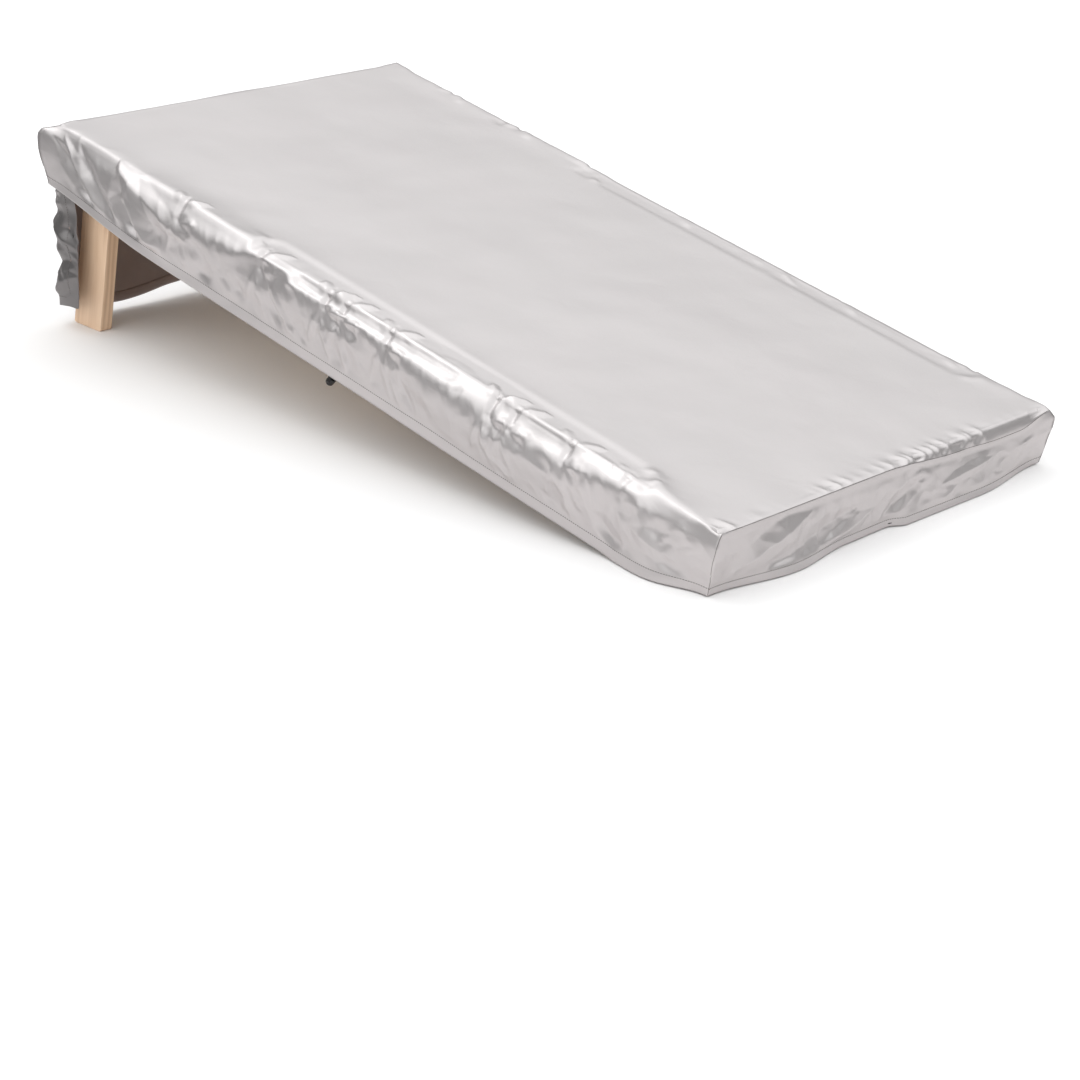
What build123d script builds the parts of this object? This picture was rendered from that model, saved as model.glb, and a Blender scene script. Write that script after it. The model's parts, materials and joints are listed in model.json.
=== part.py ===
from build123d import *
import os
from math import asin, cos, radians, sin, tan

# A cornhole board on two folding legs, under a fitted fabric weather cover.
# Lengths are millimetres. +X is to the right of a player who faces the board,
# +Y runs from the low front end to the high back end, +Z is up, the floor is Z = 0.
# Most sizes are given on the tilted board: x across it, y along it, z square to its top face.

# Board
deck_length = 1219.2
deck_width = 609.6
deck_thickness = 15.0
deck_edge_radius = 2.0
board_tilt = 10.0
target_radius = 76.2
target_from_back = 228.6
target_edge_chamfer = 1.5

# Frame under the deck
rail_depth = 62.0
rail_thickness = 20.0
back_rail_thickness = 30.0
rail_edge_radius = 2.0

# Legs and their pivots
leg_width = 60.0
leg_thickness = 20.0
leg_back_gap = 1.0
leg_deck_gap = 0.75
leg_foot_radius = 4.0
leg_edge_radius = 1.5
leg_bore_clearance = 0.05
bolt_radius = 4.0
bolt_head_radius = 10.0
bolt_head_height = 4.2
bolt_neck_side = 8.6
bolt_neck_length = 3.0
bolt_recess_radius = 11.5
bolt_recess_depth = 6.0
bolt_length = 53.0
washer_clearance = 0.2
spacer_gap = 1.8
spacer_thickness = 1.6
spacer_radius = 12.0
outer_washer_gap = 0.1
outer_washer_thickness = 1.6
outer_washer_radius = 8.5
nut_across_flats = 13.0
nut_hex_height = 5.5
nut_collar_height = 2.5
nut_collar_radius = 5.8

# Screws
frame_screw_length = 50.0
frame_screw_radius = 2.25
frame_screw_head_radius = 4.4
frame_screw_rise = 16.0
deck_screw_length = 35.0
deck_screw_radius = 2.0
deck_screw_head_radius = 4.0
screw_head_rim = 0.4
screw_tip_length = 5.0
screw_drive_side = 2.6
screw_drive_depth = 1.6
deck_screw_side_places = (-520.0, -180.0, 180.0, 520.0)
deck_screw_cross_places = (-140.0, 140.0)

# Weather cover
cover_gap = 2.8
cover_thickness = 0.6
cover_top_gap = 0.8
side_skirt_depth = 97.5
front_skirt_depth = 75.0
skirt_taper_end = -440.0
back_flap_depth = 268.0

# Drawcord in the hem
cord_radius = 1.1
cord_inset = 1.4
cord_above_hem = 1.9
cord_corner_radius = 1.5
cord_back_radius = 3.0
cord_flap_radius = 8.0
cord_bend_radius = 2.0
cord_pair_spacing = 2.3
cord_exit_reach = 11.4
cord_exit_margin = 1.2
cord_tail_length = 24.0
cord_knot_radius = 3.5

# Cord lock that hangs from the hem halfway along the left side
lock_lean = 31.7
lock_hole_y = 16.1
lock_hole_z = -106.0
lock_side_gap = 0.5
lock_radius = 5.5
lock_bore_radius = 4.0
lock_top = 4.75
lock_tip = -8.5
lock_floor = -6.6
lock_tip_radius = 3.5
lock_rim_radius = 0.4
lock_slot_width = 4.9
lock_slot_height = 2.5
button_radius = 3.9
button_top = 7.5
button_bottom = -2.8
button_edge_radius = 1.2
button_travel = 2.2
button_slot_bottom = -1.2
spring_radius = 2.6
spring_wire_radius = 0.25
spring_turns = 4.0
spring_end_gap = 0.02

# Sizes that follow from the ones above
tilt_sin = sin(radians(board_tilt))
tilt_cos = cos(radians(board_tilt))
board_depth = deck_thickness + rail_depth
deck_top_height = deck_length / 2 * tilt_sin + board_depth * tilt_cos
cover_half_width = deck_width / 2 + cover_gap + cover_thickness
cover_half_length = deck_length / 2 + cover_gap + cover_thickness
cover_inner_half_width = cover_half_width - cover_thickness
cover_inner_half_length = cover_half_length - cover_thickness
cover_top = cover_top_gap + cover_thickness
lock_x = -(deck_width / 2 + lock_side_gap + lock_radius)
cord_x = cover_inner_half_width - cord_inset
cord_y = cover_inner_half_length - cord_inset
cord_outer_x = -cord_x - cord_exit_reach

# The origin is on the floor, at the middle of the whole object's length and width.
front_reach = cover_half_length * tilt_cos + cover_top * tilt_sin
back_reach = cover_half_length * tilt_cos + back_flap_depth * tilt_sin
left_reach = cord_radius - cord_outer_x
middle_y = (back_reach - front_reach) / 2
middle_x = (cover_half_width - left_reach) / 2

along_board = Vector(0, tilt_cos, tilt_sin)
up_from_board = Vector(0, -tilt_sin, tilt_cos)
across_board = Vector(1, 0, 0)
board_origin = Vector(-middle_x, -middle_y, deck_top_height)

# Local x and y of deck_plane run across and along the board, from the middle of its top face.
deck_plane = Plane(origin=board_origin, x_dir=across_board, z_dir=up_from_board)
# Local x and y of profile_plane run along the board and square to it; its offset is x.
profile_plane = Plane(origin=board_origin, x_dir=along_board, z_dir=across_board)
board_up_axis = Axis(board_origin, up_from_board)
board_long_axis = Axis(board_origin, along_board)


def on_board(x, y, z):
    """The point at x across, y along and z above the board's top face."""
    return board_origin + across_board * x + along_board * y + up_from_board * z


def floor_below(y):
    """How far the floor is below the board's top face, square to it, at y along the board."""
    return -(deck_top_height + y * tilt_sin) / tilt_cos


def countersunk_screw(length, shank_radius, head_radius):
    """A wood screw that points down, with the flat of its head at z = 0."""
    head_height = head_radius - shank_radius + screw_head_rim
    outline = Polyline(
        (0, 0),
        (head_radius, 0),
        (head_radius, -screw_head_rim),
        (shank_radius, -head_height),
        (shank_radius, -(length - screw_tip_length)),
        (0, -length),
        close=True,
    )
    return revolve(Plane.XZ * make_face(outline), Axis.Z)


def carriage_bolt():
    """A bolt that points down, with the underside of its domed head at z = 0."""
    dome_radius = (bolt_head_radius**2 + bolt_head_height**2) / (2 * bolt_head_height)
    half_way = asin(bolt_head_radius / dome_radius) / 2
    dome = make_face(
        [
            Line((0, 0), (bolt_head_radius, 0)),
            ThreePointArc(
                (bolt_head_radius, 0),
                (
                    dome_radius * sin(half_way),
                    bolt_head_height - dome_radius * (1 - cos(half_way)),
                ),
                (0, bolt_head_height),
            ),
            Line((0, bolt_head_height), (0, 0)),
        ]
    )
    head = revolve(Plane.XZ * dome, Axis.Z)
    neck = Pos(0, 0, -bolt_neck_length / 2) * Box(bolt_neck_side, bolt_neck_side, bolt_neck_length)
    shank = Pos(0, 0, -bolt_length / 2) * Cylinder(bolt_radius, bolt_length)
    return head + neck + shank


# Heights and places measured on the board
rail_top = -deck_thickness
rail_middle = rail_top - rail_depth / 2
side_rail_x = (deck_width - rail_thickness) / 2
cross_rail_length = deck_width - 2 * rail_thickness
front_rail_y = -(deck_length - rail_thickness) / 2
back_rail_y = (deck_length - back_rail_thickness) / 2
back_rail_face = deck_length / 2 - back_rail_thickness
target_y = deck_length / 2 - target_from_back

leg_back_edge = back_rail_face - leg_back_gap
pivot_y = leg_back_edge - leg_width / 2
pivot_z = rail_top - leg_deck_gap - leg_width / 2
rail_inner_face = deck_width / 2 - rail_thickness
leg_outer_face = rail_inner_face - spacer_gap
leg_inner_face = leg_outer_face - leg_thickness
outer_washer_face = leg_inner_face - outer_washer_gap
nut_face = outer_washer_face - outer_washer_thickness
bolt_seat = deck_width / 2 - bolt_recess_depth

frame_screw_blank = countersunk_screw(
    frame_screw_length, frame_screw_radius, frame_screw_head_radius
)
deck_screw_blank = countersunk_screw(deck_screw_length, deck_screw_radius, deck_screw_head_radius)
bolt_blank = carriage_bolt()

deck_screw_points = [
    (side * side_rail_x, y) for side in (-1, 1) for y in deck_screw_side_places
] + [(x, y) for y in (front_rail_y, 0, back_rail_y) for x in deck_screw_cross_places]
deck_screw_places = [
    Plane(origin=on_board(x, y, 0), x_dir=across_board, z_dir=up_from_board).location
    for x, y in deck_screw_points
]
frame_screw_places = [
    Plane(
        origin=on_board(side * deck_width / 2, y, rail_middle + rise),
        x_dir=along_board,
        z_dir=across_board * side,
    ).location
    for side in (-1, 1)
    for y in (front_rail_y, 0, back_rail_y)
    for rise in (-frame_screw_rise, frame_screw_rise)
]
bolt_places = [
    Plane(
        origin=on_board(side * bolt_seat, pivot_y, pivot_z),
        x_dir=along_board,
        z_dir=across_board * side,
    ).location
    for side in (-1, 1)
]

# Screws that hold the deck on the frame, heads flush with the deck
with BuildPart() as deck_screws:
    with Locations(*deck_screw_places):
        add(deck_screw_blank)
        Box(screw_drive_side, screw_drive_side, 2 * screw_drive_depth, mode=Mode.SUBTRACT)
deck_screws.part.label = "deck_screws"

# Screws through the side rails into the cross rails' ends
with BuildPart() as frame_screws:
    with Locations(*frame_screw_places):
        add(frame_screw_blank)
        Box(screw_drive_side, screw_drive_side, 2 * screw_drive_depth, mode=Mode.SUBTRACT)
frame_screws.part.label = "frame_screws"

# Carriage bolts the legs turn on, heads recessed in the side rails
with BuildPart() as pivot_bolts:
    with Locations(*bolt_places):
        add(bolt_blank)
pivot_bolts.part.label = "pivot_bolts"

# Plywood deck with the target hole
with BuildPart() as deck_panel:
    with BuildSketch(deck_plane):
        Rectangle(deck_width, deck_length)
        with Locations((0, target_y)):
            Circle(target_radius, mode=Mode.SUBTRACT)
    extrude(amount=-deck_thickness)
    fillet(
        deck_panel.faces().sort_by(board_up_axis)[-1].outer_wire().edges(), deck_edge_radius
    )
    chamfer(
        deck_panel.faces().sort_by(board_up_axis)[-1].inner_wires()[0].edges(),
        target_edge_chamfer,
    )
    chamfer(
        deck_panel.faces().sort_by(board_up_axis)[0].inner_wires()[0].edges(),
        target_edge_chamfer,
    )
    with Locations(*deck_screw_places):
        add(deck_screw_blank, mode=Mode.SUBTRACT)
deck_panel.part.label = "deck_panel"

# Left side rail, with the recess for the pivot bolt's head
with BuildPart() as left_side_rail:
    with BuildSketch(deck_plane.offset(rail_top)):
        with Locations((-side_rail_x, 0)):
            Rectangle(rail_thickness, deck_length)
    extrude(amount=-rail_depth)
    fillet(
        left_side_rail.edges().filter_by(board_long_axis).sort_by(board_up_axis)[:2],
        rail_edge_radius,
    )
    with BuildSketch(profile_plane.offset(-deck_width / 2)):
        with Locations((pivot_y, pivot_z)):
            Circle(bolt_recess_radius)
    extrude(amount=bolt_recess_depth, mode=Mode.SUBTRACT)
    add(pivot_bolts.part, mode=Mode.SUBTRACT)
    with Locations(*frame_screw_places):
        add(frame_screw_blank, mode=Mode.SUBTRACT)
    with Locations(*deck_screw_places):
        add(deck_screw_blank, mode=Mode.SUBTRACT)
left_side_rail.part.label = "left_side_rail"

# Right side rail, the left one's mirror image
with BuildPart() as right_side_rail:
    with BuildSketch(deck_plane.offset(rail_top)):
        with Locations((side_rail_x, 0)):
            Rectangle(rail_thickness, deck_length)
    extrude(amount=-rail_depth)
    fillet(
        right_side_rail.edges().filter_by(board_long_axis).sort_by(board_up_axis)[:2],
        rail_edge_radius,
    )
    with BuildSketch(profile_plane.offset(deck_width / 2)):
        with Locations((pivot_y, pivot_z)):
            Circle(bolt_recess_radius)
    extrude(amount=-bolt_recess_depth, mode=Mode.SUBTRACT)
    add(pivot_bolts.part, mode=Mode.SUBTRACT)
    with Locations(*frame_screw_places):
        add(frame_screw_blank, mode=Mode.SUBTRACT)
    with Locations(*deck_screw_places):
        add(deck_screw_blank, mode=Mode.SUBTRACT)
right_side_rail.part.label = "right_side_rail"

# Front rail, whose lower front edge stands on the floor
with BuildPart() as front_rail:
    with BuildSketch(deck_plane.offset(rail_top)):
        with Locations((0, front_rail_y)):
            Rectangle(cross_rail_length, rail_thickness)
    extrude(amount=-rail_depth)
    with Locations(*frame_screw_places):
        add(frame_screw_blank, mode=Mode.SUBTRACT)
    with Locations(*deck_screw_places):
        add(deck_screw_blank, mode=Mode.SUBTRACT)
front_rail.part.label = "front_rail"

# Back rail, thicker because the open legs bear on it
with BuildPart() as back_rail:
    with BuildSketch(deck_plane.offset(rail_top)):
        with Locations((0, back_rail_y)):
            Rectangle(cross_rail_length, back_rail_thickness)
    extrude(amount=-rail_depth)
    with Locations(*frame_screw_places):
        add(frame_screw_blank, mode=Mode.SUBTRACT)
    with Locations(*deck_screw_places):
        add(deck_screw_blank, mode=Mode.SUBTRACT)
back_rail.part.label = "back_rail"

# Brace across the middle of the frame
with BuildPart() as centre_brace:
    with BuildSketch(deck_plane.offset(rail_top)):
        Rectangle(cross_rail_length, rail_thickness)
    extrude(amount=-rail_depth)
    with Locations(*frame_screw_places):
        add(frame_screw_blank, mode=Mode.SUBTRACT)
    with Locations(*deck_screw_places):
        add(deck_screw_blank, mode=Mode.SUBTRACT)
centre_brace.part.label = "centre_brace"

# Washers that keep each leg off its side rail
with BuildPart() as pivot_spacer_washers:
    with BuildSketch(
        profile_plane.offset(-(rail_inner_face - (spacer_gap - spacer_thickness) / 2))
    ):
        with Locations((pivot_y, pivot_z)):
            Circle(spacer_radius)
            Circle(bolt_radius + washer_clearance, mode=Mode.SUBTRACT)
    extrude(amount=spacer_thickness)
    with BuildSketch(
        profile_plane.offset(rail_inner_face - (spacer_gap - spacer_thickness) / 2)
    ):
        with Locations((pivot_y, pivot_z)):
            Circle(spacer_radius)
            Circle(bolt_radius + washer_clearance, mode=Mode.SUBTRACT)
    extrude(amount=-spacer_thickness)
pivot_spacer_washers.part.label = "pivot_spacer_washers"

# Washers under the nuts
with BuildPart() as pivot_outer_washers:
    with BuildSketch(profile_plane.offset(-outer_washer_face)):
        with Locations((pivot_y, pivot_z)):
            Circle(outer_washer_radius)
            Circle(bolt_radius + washer_clearance, mode=Mode.SUBTRACT)
    extrude(amount=outer_washer_thickness)
    with BuildSketch(profile_plane.offset(outer_washer_face)):
        with Locations((pivot_y, pivot_z)):
            Circle(outer_washer_radius)
            Circle(bolt_radius + washer_clearance, mode=Mode.SUBTRACT)
    extrude(amount=-outer_washer_thickness)
pivot_outer_washers.part.label = "pivot_outer_washers"

# Lock nuts, a hexagon and a round collar each
with BuildPart() as pivot_lock_nuts:
    with BuildSketch(profile_plane.offset(-nut_face)):
        with Locations((pivot_y, pivot_z)):
            RegularPolygon(nut_across_flats / 2, 6, major_radius=False)
    extrude(amount=nut_hex_height)
    with BuildSketch(profile_plane.offset(-nut_face + nut_hex_height)):
        with Locations((pivot_y, pivot_z)):
            Circle(nut_collar_radius)
    extrude(amount=nut_collar_height)
    with BuildSketch(profile_plane.offset(nut_face)):
        with Locations((pivot_y, pivot_z)):
            RegularPolygon(nut_across_flats / 2, 6, major_radius=False)
    extrude(amount=-nut_hex_height)
    with BuildSketch(profile_plane.offset(nut_face - nut_hex_height)):
        with Locations((pivot_y, pivot_z)):
            Circle(nut_collar_radius)
    extrude(amount=-nut_collar_height)
    add(pivot_bolts.part, mode=Mode.SUBTRACT)
pivot_lock_nuts.part.label = "pivot_lock_nuts"

# Left leg, square to the board, its foot cut level with the floor
with BuildPart() as left_leg:
    with BuildSketch(profile_plane.offset(-leg_outer_face)):
        with BuildLine():
            Polyline(
                (leg_back_edge, pivot_z),
                (leg_back_edge, floor_below(leg_back_edge)),
                (leg_back_edge - leg_width, floor_below(leg_back_edge - leg_width)),
                (leg_back_edge - leg_width, pivot_z),
                close=True,
            )
        make_face()
        with Locations((pivot_y, pivot_z)):
            Circle(leg_width / 2)
    extrude(amount=leg_thickness)
    fillet(
        left_leg.edges().filter_by(Axis.X).sort_by(Axis.Z)[:2], leg_foot_radius
    )
    fillet(left_leg.faces().sort_by(Axis.X)[0].outer_wire().edges(), leg_edge_radius)
    fillet(left_leg.faces().sort_by(Axis.X)[-1].outer_wire().edges(), leg_edge_radius)
    with BuildSketch(profile_plane.offset(-leg_outer_face)):
        with Locations((pivot_y, pivot_z)):
            Circle(bolt_radius + leg_bore_clearance)
    extrude(amount=leg_thickness, mode=Mode.SUBTRACT)
left_leg.part.label = "left_leg"

# Right leg, the left one's mirror image
with BuildPart() as right_leg:
    with BuildSketch(profile_plane.offset(leg_inner_face)):
        with BuildLine():
            Polyline(
                (leg_back_edge, pivot_z),
                (leg_back_edge, floor_below(leg_back_edge)),
                (leg_back_edge - leg_width, floor_below(leg_back_edge - leg_width)),
                (leg_back_edge - leg_width, pivot_z),
                close=True,
            )
        make_face()
        with Locations((pivot_y, pivot_z)):
            Circle(leg_width / 2)
    extrude(amount=leg_thickness)
    fillet(
        right_leg.edges().filter_by(Axis.X).sort_by(Axis.Z)[:2], leg_foot_radius
    )
    fillet(right_leg.faces().sort_by(Axis.X)[0].outer_wire().edges(), leg_edge_radius)
    fillet(right_leg.faces().sort_by(Axis.X)[-1].outer_wire().edges(), leg_edge_radius)
    with BuildSketch(profile_plane.offset(leg_inner_face)):
        with Locations((pivot_y, pivot_z)):
            Circle(bolt_radius + leg_bore_clearance)
    extrude(amount=leg_thickness, mode=Mode.SUBTRACT)
right_leg.part.label = "right_leg"

# Weather cover: top panel
with BuildPart() as cover_top_panel:
    with BuildSketch(deck_plane.offset(cover_top_gap)):
        Rectangle(2 * cover_half_width, 2 * cover_half_length)
    extrude(amount=cover_thickness)
cover_top_panel.part.label = "cover_top_panel"

# Weather cover: left skirt, cut shorter at the low end and slit where the drawcord comes out
lock_shift = tan(radians(lock_lean))
side_hem_z = -side_skirt_depth
cord_side_z = side_hem_z + cord_above_hem
pair_y = cord_pair_spacing / 2 * cos(radians(lock_lean))
pair_z = cord_pair_spacing / 2 * sin(radians(lock_lean))
front_cord_y = lock_hole_y - pair_y
front_cord_z = lock_hole_z - pair_z
back_cord_y = lock_hole_y + pair_y
back_cord_z = lock_hole_z + pair_z
front_exit_y = front_cord_y - (cord_side_z - front_cord_z) * lock_shift
back_exit_y = back_cord_y - (cord_side_z - back_cord_z) * lock_shift
exit_low_y = front_exit_y - cord_radius - cord_exit_margin
exit_high_y = back_exit_y + cord_radius + cord_exit_margin
exit_top_z = cord_side_z + cord_radius + cord_exit_margin
with BuildPart() as cover_left_skirt:
    with BuildSketch(profile_plane.offset(-cover_half_width)):
        with BuildLine():
            Polyline(
                (-cover_half_length, cover_top_gap),
                (-cover_half_length, -front_skirt_depth),
                (skirt_taper_end, side_hem_z),
                (exit_low_y, side_hem_z),
                (exit_low_y, exit_top_z),
                (exit_high_y, exit_top_z),
                (exit_high_y, side_hem_z),
                (cover_half_length, side_hem_z),
                (cover_half_length, cover_top_gap),
                close=True,
            )
        make_face()
    extrude(amount=cover_thickness)
cover_left_skirt.part.label = "cover_left_skirt"

# Weather cover: right skirt
with BuildPart() as cover_right_skirt:
    with BuildSketch(profile_plane.offset(cover_inner_half_width)):
        with BuildLine():
            Polyline(
                (-cover_half_length, cover_top_gap),
                (-cover_half_length, -front_skirt_depth),
                (skirt_taper_end, side_hem_z),
                (cover_half_length, side_hem_z),
                (cover_half_length, cover_top_gap),
                close=True,
            )
        make_face()
    extrude(amount=cover_thickness)
cover_right_skirt.part.label = "cover_right_skirt"

# Weather cover: front skirt
with BuildPart() as cover_front_skirt:
    with BuildSketch(deck_plane.offset(cover_top_gap)):
        with Locations((0, -cover_half_length + cover_thickness / 2)):
            Rectangle(2 * cover_inner_half_width, cover_thickness)
    extrude(amount=-(front_skirt_depth + cover_top_gap))
cover_front_skirt.part.label = "cover_front_skirt"

# Weather cover: deep flap behind the legs
with BuildPart() as cover_back_flap:
    with BuildSketch(deck_plane.offset(cover_top_gap)):
        with Locations((0, cover_half_length - cover_thickness / 2)):
            Rectangle(2 * cover_inner_half_width, cover_thickness)
    extrude(amount=-(back_flap_depth + cover_top_gap))
cover_back_flap.part.label = "cover_back_flap"

# Drawcord: once round the hem, then both ends out through the cord lock to one knot
cord_front_z = -front_skirt_depth + cord_above_hem
cord_flap_z = -back_flap_depth + cord_above_hem
knot_x = lock_x + lock_radius + cord_tail_length
with BuildPart() as drawcord:
    with BuildLine(deck_plane) as cord_path:
        FilletPolyline(
            (knot_x, front_cord_y, front_cord_z),
            (cord_outer_x, front_cord_y, front_cord_z),
            (cord_outer_x, front_exit_y, cord_side_z),
            (-cord_x, front_exit_y, cord_side_z),
            (-cord_x, skirt_taper_end, cord_side_z),
            (-cord_x, -cord_y, cord_front_z),
            (cord_x, -cord_y, cord_front_z),
            (cord_x, skirt_taper_end, cord_side_z),
            (cord_x, cord_y, cord_side_z),
            (cord_x, cord_y, cord_flap_z),
            (-cord_x, cord_y, cord_flap_z),
            (-cord_x, cord_y, cord_side_z),
            (-cord_x, back_exit_y, cord_side_z),
            (cord_outer_x, back_exit_y, cord_side_z),
            (cord_outer_x, back_cord_y, back_cord_z),
            (knot_x, back_cord_y, back_cord_z),
            radius=[
                cord_bend_radius,
                cord_bend_radius,
                cord_bend_radius,
                cord_flap_radius,
                cord_corner_radius,
                cord_corner_radius,
                cord_flap_radius,
                cord_back_radius,
                cord_flap_radius,
                cord_flap_radius,
                cord_back_radius,
                cord_bend_radius,
                cord_bend_radius,
                cord_bend_radius,
            ],
        )
    with BuildSketch(
        Plane(origin=on_board(knot_x, front_cord_y, front_cord_z), z_dir=across_board * -1)
    ):
        Circle(cord_radius)
    sweep(path=cord_path.line)
    with Locations(on_board(knot_x, lock_hole_y, lock_hole_z)):
        Sphere(cord_knot_radius)
drawcord.part.label = "drawcord"

# Cord lock: local x runs along the cord's ends, local z from its closed end to its button
lock_up = along_board * -sin(radians(lock_lean)) + up_from_board * cos(radians(lock_lean))
lock_origin = on_board(lock_x, lock_hole_y, lock_hole_z)
lock_plane = Plane(origin=lock_origin, x_dir=across_board, z_dir=lock_up)
lock_slot_plane = Plane(origin=lock_origin, x_dir=lock_plane.y_dir, z_dir=across_board)
lock_axis = Axis(lock_origin, lock_up)

# Barrel of the cord lock
with BuildPart() as cord_lock_barrel:
    with BuildSketch(lock_plane.offset(lock_tip)):
        Circle(lock_radius)
    extrude(amount=lock_top - lock_tip)
    fillet(cord_lock_barrel.edges().sort_by(lock_axis)[0], lock_tip_radius)
    with BuildSketch(lock_plane.offset(lock_floor)):
        Circle(lock_bore_radius)
    extrude(amount=lock_top - lock_floor, mode=Mode.SUBTRACT)
    fillet(cord_lock_barrel.faces().sort_by(lock_axis)[-1].edges(), lock_rim_radius)
    with BuildSketch(lock_slot_plane):
        SlotOverall(lock_slot_width, lock_slot_height)
    extrude(amount=2 * lock_radius, both=True, mode=Mode.SUBTRACT)
cord_lock_barrel.part.label = "cord_lock_barrel"

# Button, pushed up by the spring so that the slot's lower edge grips the cord
button_slot_height = lock_slot_height + button_travel
with BuildPart() as cord_lock_button:
    with BuildSketch(lock_plane.offset(button_bottom)):
        Circle(button_radius)
    extrude(amount=button_top - button_bottom)
    fillet(cord_lock_button.edges().sort_by(lock_axis)[-1], button_edge_radius)
    with BuildSketch(lock_slot_plane):
        with Locations((0, button_slot_bottom + button_slot_height / 2)):
            Rectangle(lock_slot_width, button_slot_height)
    extrude(amount=2 * lock_radius, both=True, mode=Mode.SUBTRACT)
cord_lock_button.part.label = "cord_lock_button"

# Coil spring between the barrel's floor and the button
spring_low = lock_floor + spring_wire_radius + spring_end_gap
spring_height = button_bottom - spring_wire_radius - spring_end_gap - spring_low
with BuildPart() as cord_lock_spring:
    with BuildLine() as coil:
        Helix(
            pitch=spring_height / spring_turns,
            height=spring_height,
            radius=spring_radius,
            center=lock_origin + lock_up * spring_low,
            direction=lock_up,
        )
    with BuildSketch(Plane(origin=coil.line @ 0, z_dir=coil.line % 0)):
        Circle(spring_wire_radius)
    sweep(path=coil.line, is_frenet=True)
cord_lock_spring.part.label = "cord_lock_spring"

os.makedirs("parts", exist_ok=True)
export_step(deck_panel.part, "parts/deck_panel.step")
export_step(left_side_rail.part, "parts/left_side_rail.step")
export_step(right_side_rail.part, "parts/right_side_rail.step")
export_step(front_rail.part, "parts/front_rail.step")
export_step(back_rail.part, "parts/back_rail.step")
export_step(centre_brace.part, "parts/centre_brace.step")
export_step(deck_screws.part, "parts/deck_screws.step")
export_step(frame_screws.part, "parts/frame_screws.step")
export_step(pivot_bolts.part, "parts/pivot_bolts.step")
export_step(pivot_spacer_washers.part, "parts/pivot_spacer_washers.step")
export_step(pivot_outer_washers.part, "parts/pivot_outer_washers.step")
export_step(pivot_lock_nuts.part, "parts/pivot_lock_nuts.step")
export_step(left_leg.part, "parts/left_leg.step")
export_step(right_leg.part, "parts/right_leg.step")
export_step(cover_top_panel.part, "parts/cover_top_panel.step")
export_step(cover_left_skirt.part, "parts/cover_left_skirt.step")
export_step(cover_right_skirt.part, "parts/cover_right_skirt.step")
export_step(cover_front_skirt.part, "parts/cover_front_skirt.step")
export_step(cover_back_flap.part, "parts/cover_back_flap.step")
export_step(drawcord.part, "parts/drawcord.step")
export_step(cord_lock_barrel.part, "parts/cord_lock_barrel.step")
export_step(cord_lock_button.part, "parts/cord_lock_button.step")
export_step(cord_lock_spring.part, "parts/cord_lock_spring.step")
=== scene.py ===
import json
import math

import bmesh
import bpy
import numpy as np
from mathutils import Matrix, Vector, noise
from mathutils.bvhtree import BVHTree


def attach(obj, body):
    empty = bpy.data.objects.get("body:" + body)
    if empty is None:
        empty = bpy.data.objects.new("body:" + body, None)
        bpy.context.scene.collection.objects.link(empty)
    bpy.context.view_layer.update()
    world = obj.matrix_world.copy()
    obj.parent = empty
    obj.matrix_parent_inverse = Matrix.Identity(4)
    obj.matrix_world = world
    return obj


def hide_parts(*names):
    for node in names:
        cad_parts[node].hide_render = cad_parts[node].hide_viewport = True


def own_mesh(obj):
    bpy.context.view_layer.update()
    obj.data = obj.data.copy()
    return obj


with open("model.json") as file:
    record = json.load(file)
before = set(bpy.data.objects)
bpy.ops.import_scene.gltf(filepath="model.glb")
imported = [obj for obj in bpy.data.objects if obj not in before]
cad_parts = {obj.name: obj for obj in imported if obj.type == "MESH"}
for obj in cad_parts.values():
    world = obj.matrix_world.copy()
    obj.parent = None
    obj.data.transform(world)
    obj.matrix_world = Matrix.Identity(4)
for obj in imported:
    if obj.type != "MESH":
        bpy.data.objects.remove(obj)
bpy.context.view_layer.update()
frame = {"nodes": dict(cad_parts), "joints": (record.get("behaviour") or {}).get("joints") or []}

# A cornhole board under a fitted silver weather cover. The CAD frame holds the board, its legs and
# fasteners. This script adds the soft cover, its hem, stitches and drawcord, every material, the floor,
# the lights and the camera. Lengths are metres.
#
# Most places are given on the tilted board: x across it, y along it towards the high back end, and z
# square to its top, from the middle of the deck's top face. A drop is a depth below the cover's top
# edge, measured down the skirt.

MM = 0.001
HAIR = 0.1 * MM

# The cover's fit
CELL = 8 * MM
SIDE_CLEARANCE = 2.0 * MM
FRONT_CLEARANCE = 5.5 * MM
BACK_CLEARANCE = 4.0 * MM
TOP_LIFT = 1.6 * MM
TOP_SWELL = 4.5 * MM
OVERHANG = 15 * MM
SEAM_FOLD = 7 * MM
FLOOR_GAP = 1.6 * MM
EAR_REACH = 15 * MM
EAR_DIP = 6 * MM
CORNER_FOLD = 5

# The back flap
FLAP_LEAN = 0.18
FLAP_WRAP = 54 * MM
FLAP_WRAP_ROUND = 9 * MM
FLAP_FOLD = 3.2 * MM

# Fabric and its settling over the board
FABRIC_THICKNESS = 0.6 * MM
MAX_SHIFT = 6 * MM
SETTLE_FRAMES = 28
SETTLE_INSET = 4.6 * MM
SETTLE_SINK = 1.2 * MM
DECK_GAP = 2.0 * MM
DECK_EDGE_GAP = 1.4 * MM

# How firmly the settling cloth is held: along the hem and the corner seams, just above the hem, high on
# the skirts, and down the flap's sides
HELD_HEM = 0.9
HELD_BY_HEM = 0.5
HELD_SKIRT = 0.3
HELD_FLAP_SIDE = 0.6

# The cloth's settings as it settles
CLOTH = {
    "quality": 6, "mass": 0.12, "air_damping": 6, "pin_stiffness": 2,
    "tension_stiffness": 60, "compression_stiffness": 60, "shear_stiffness": 30,
    "tension_damping": 15, "compression_damping": 15, "shear_damping": 15, "bending_stiffness": 0.8,
}

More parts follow.
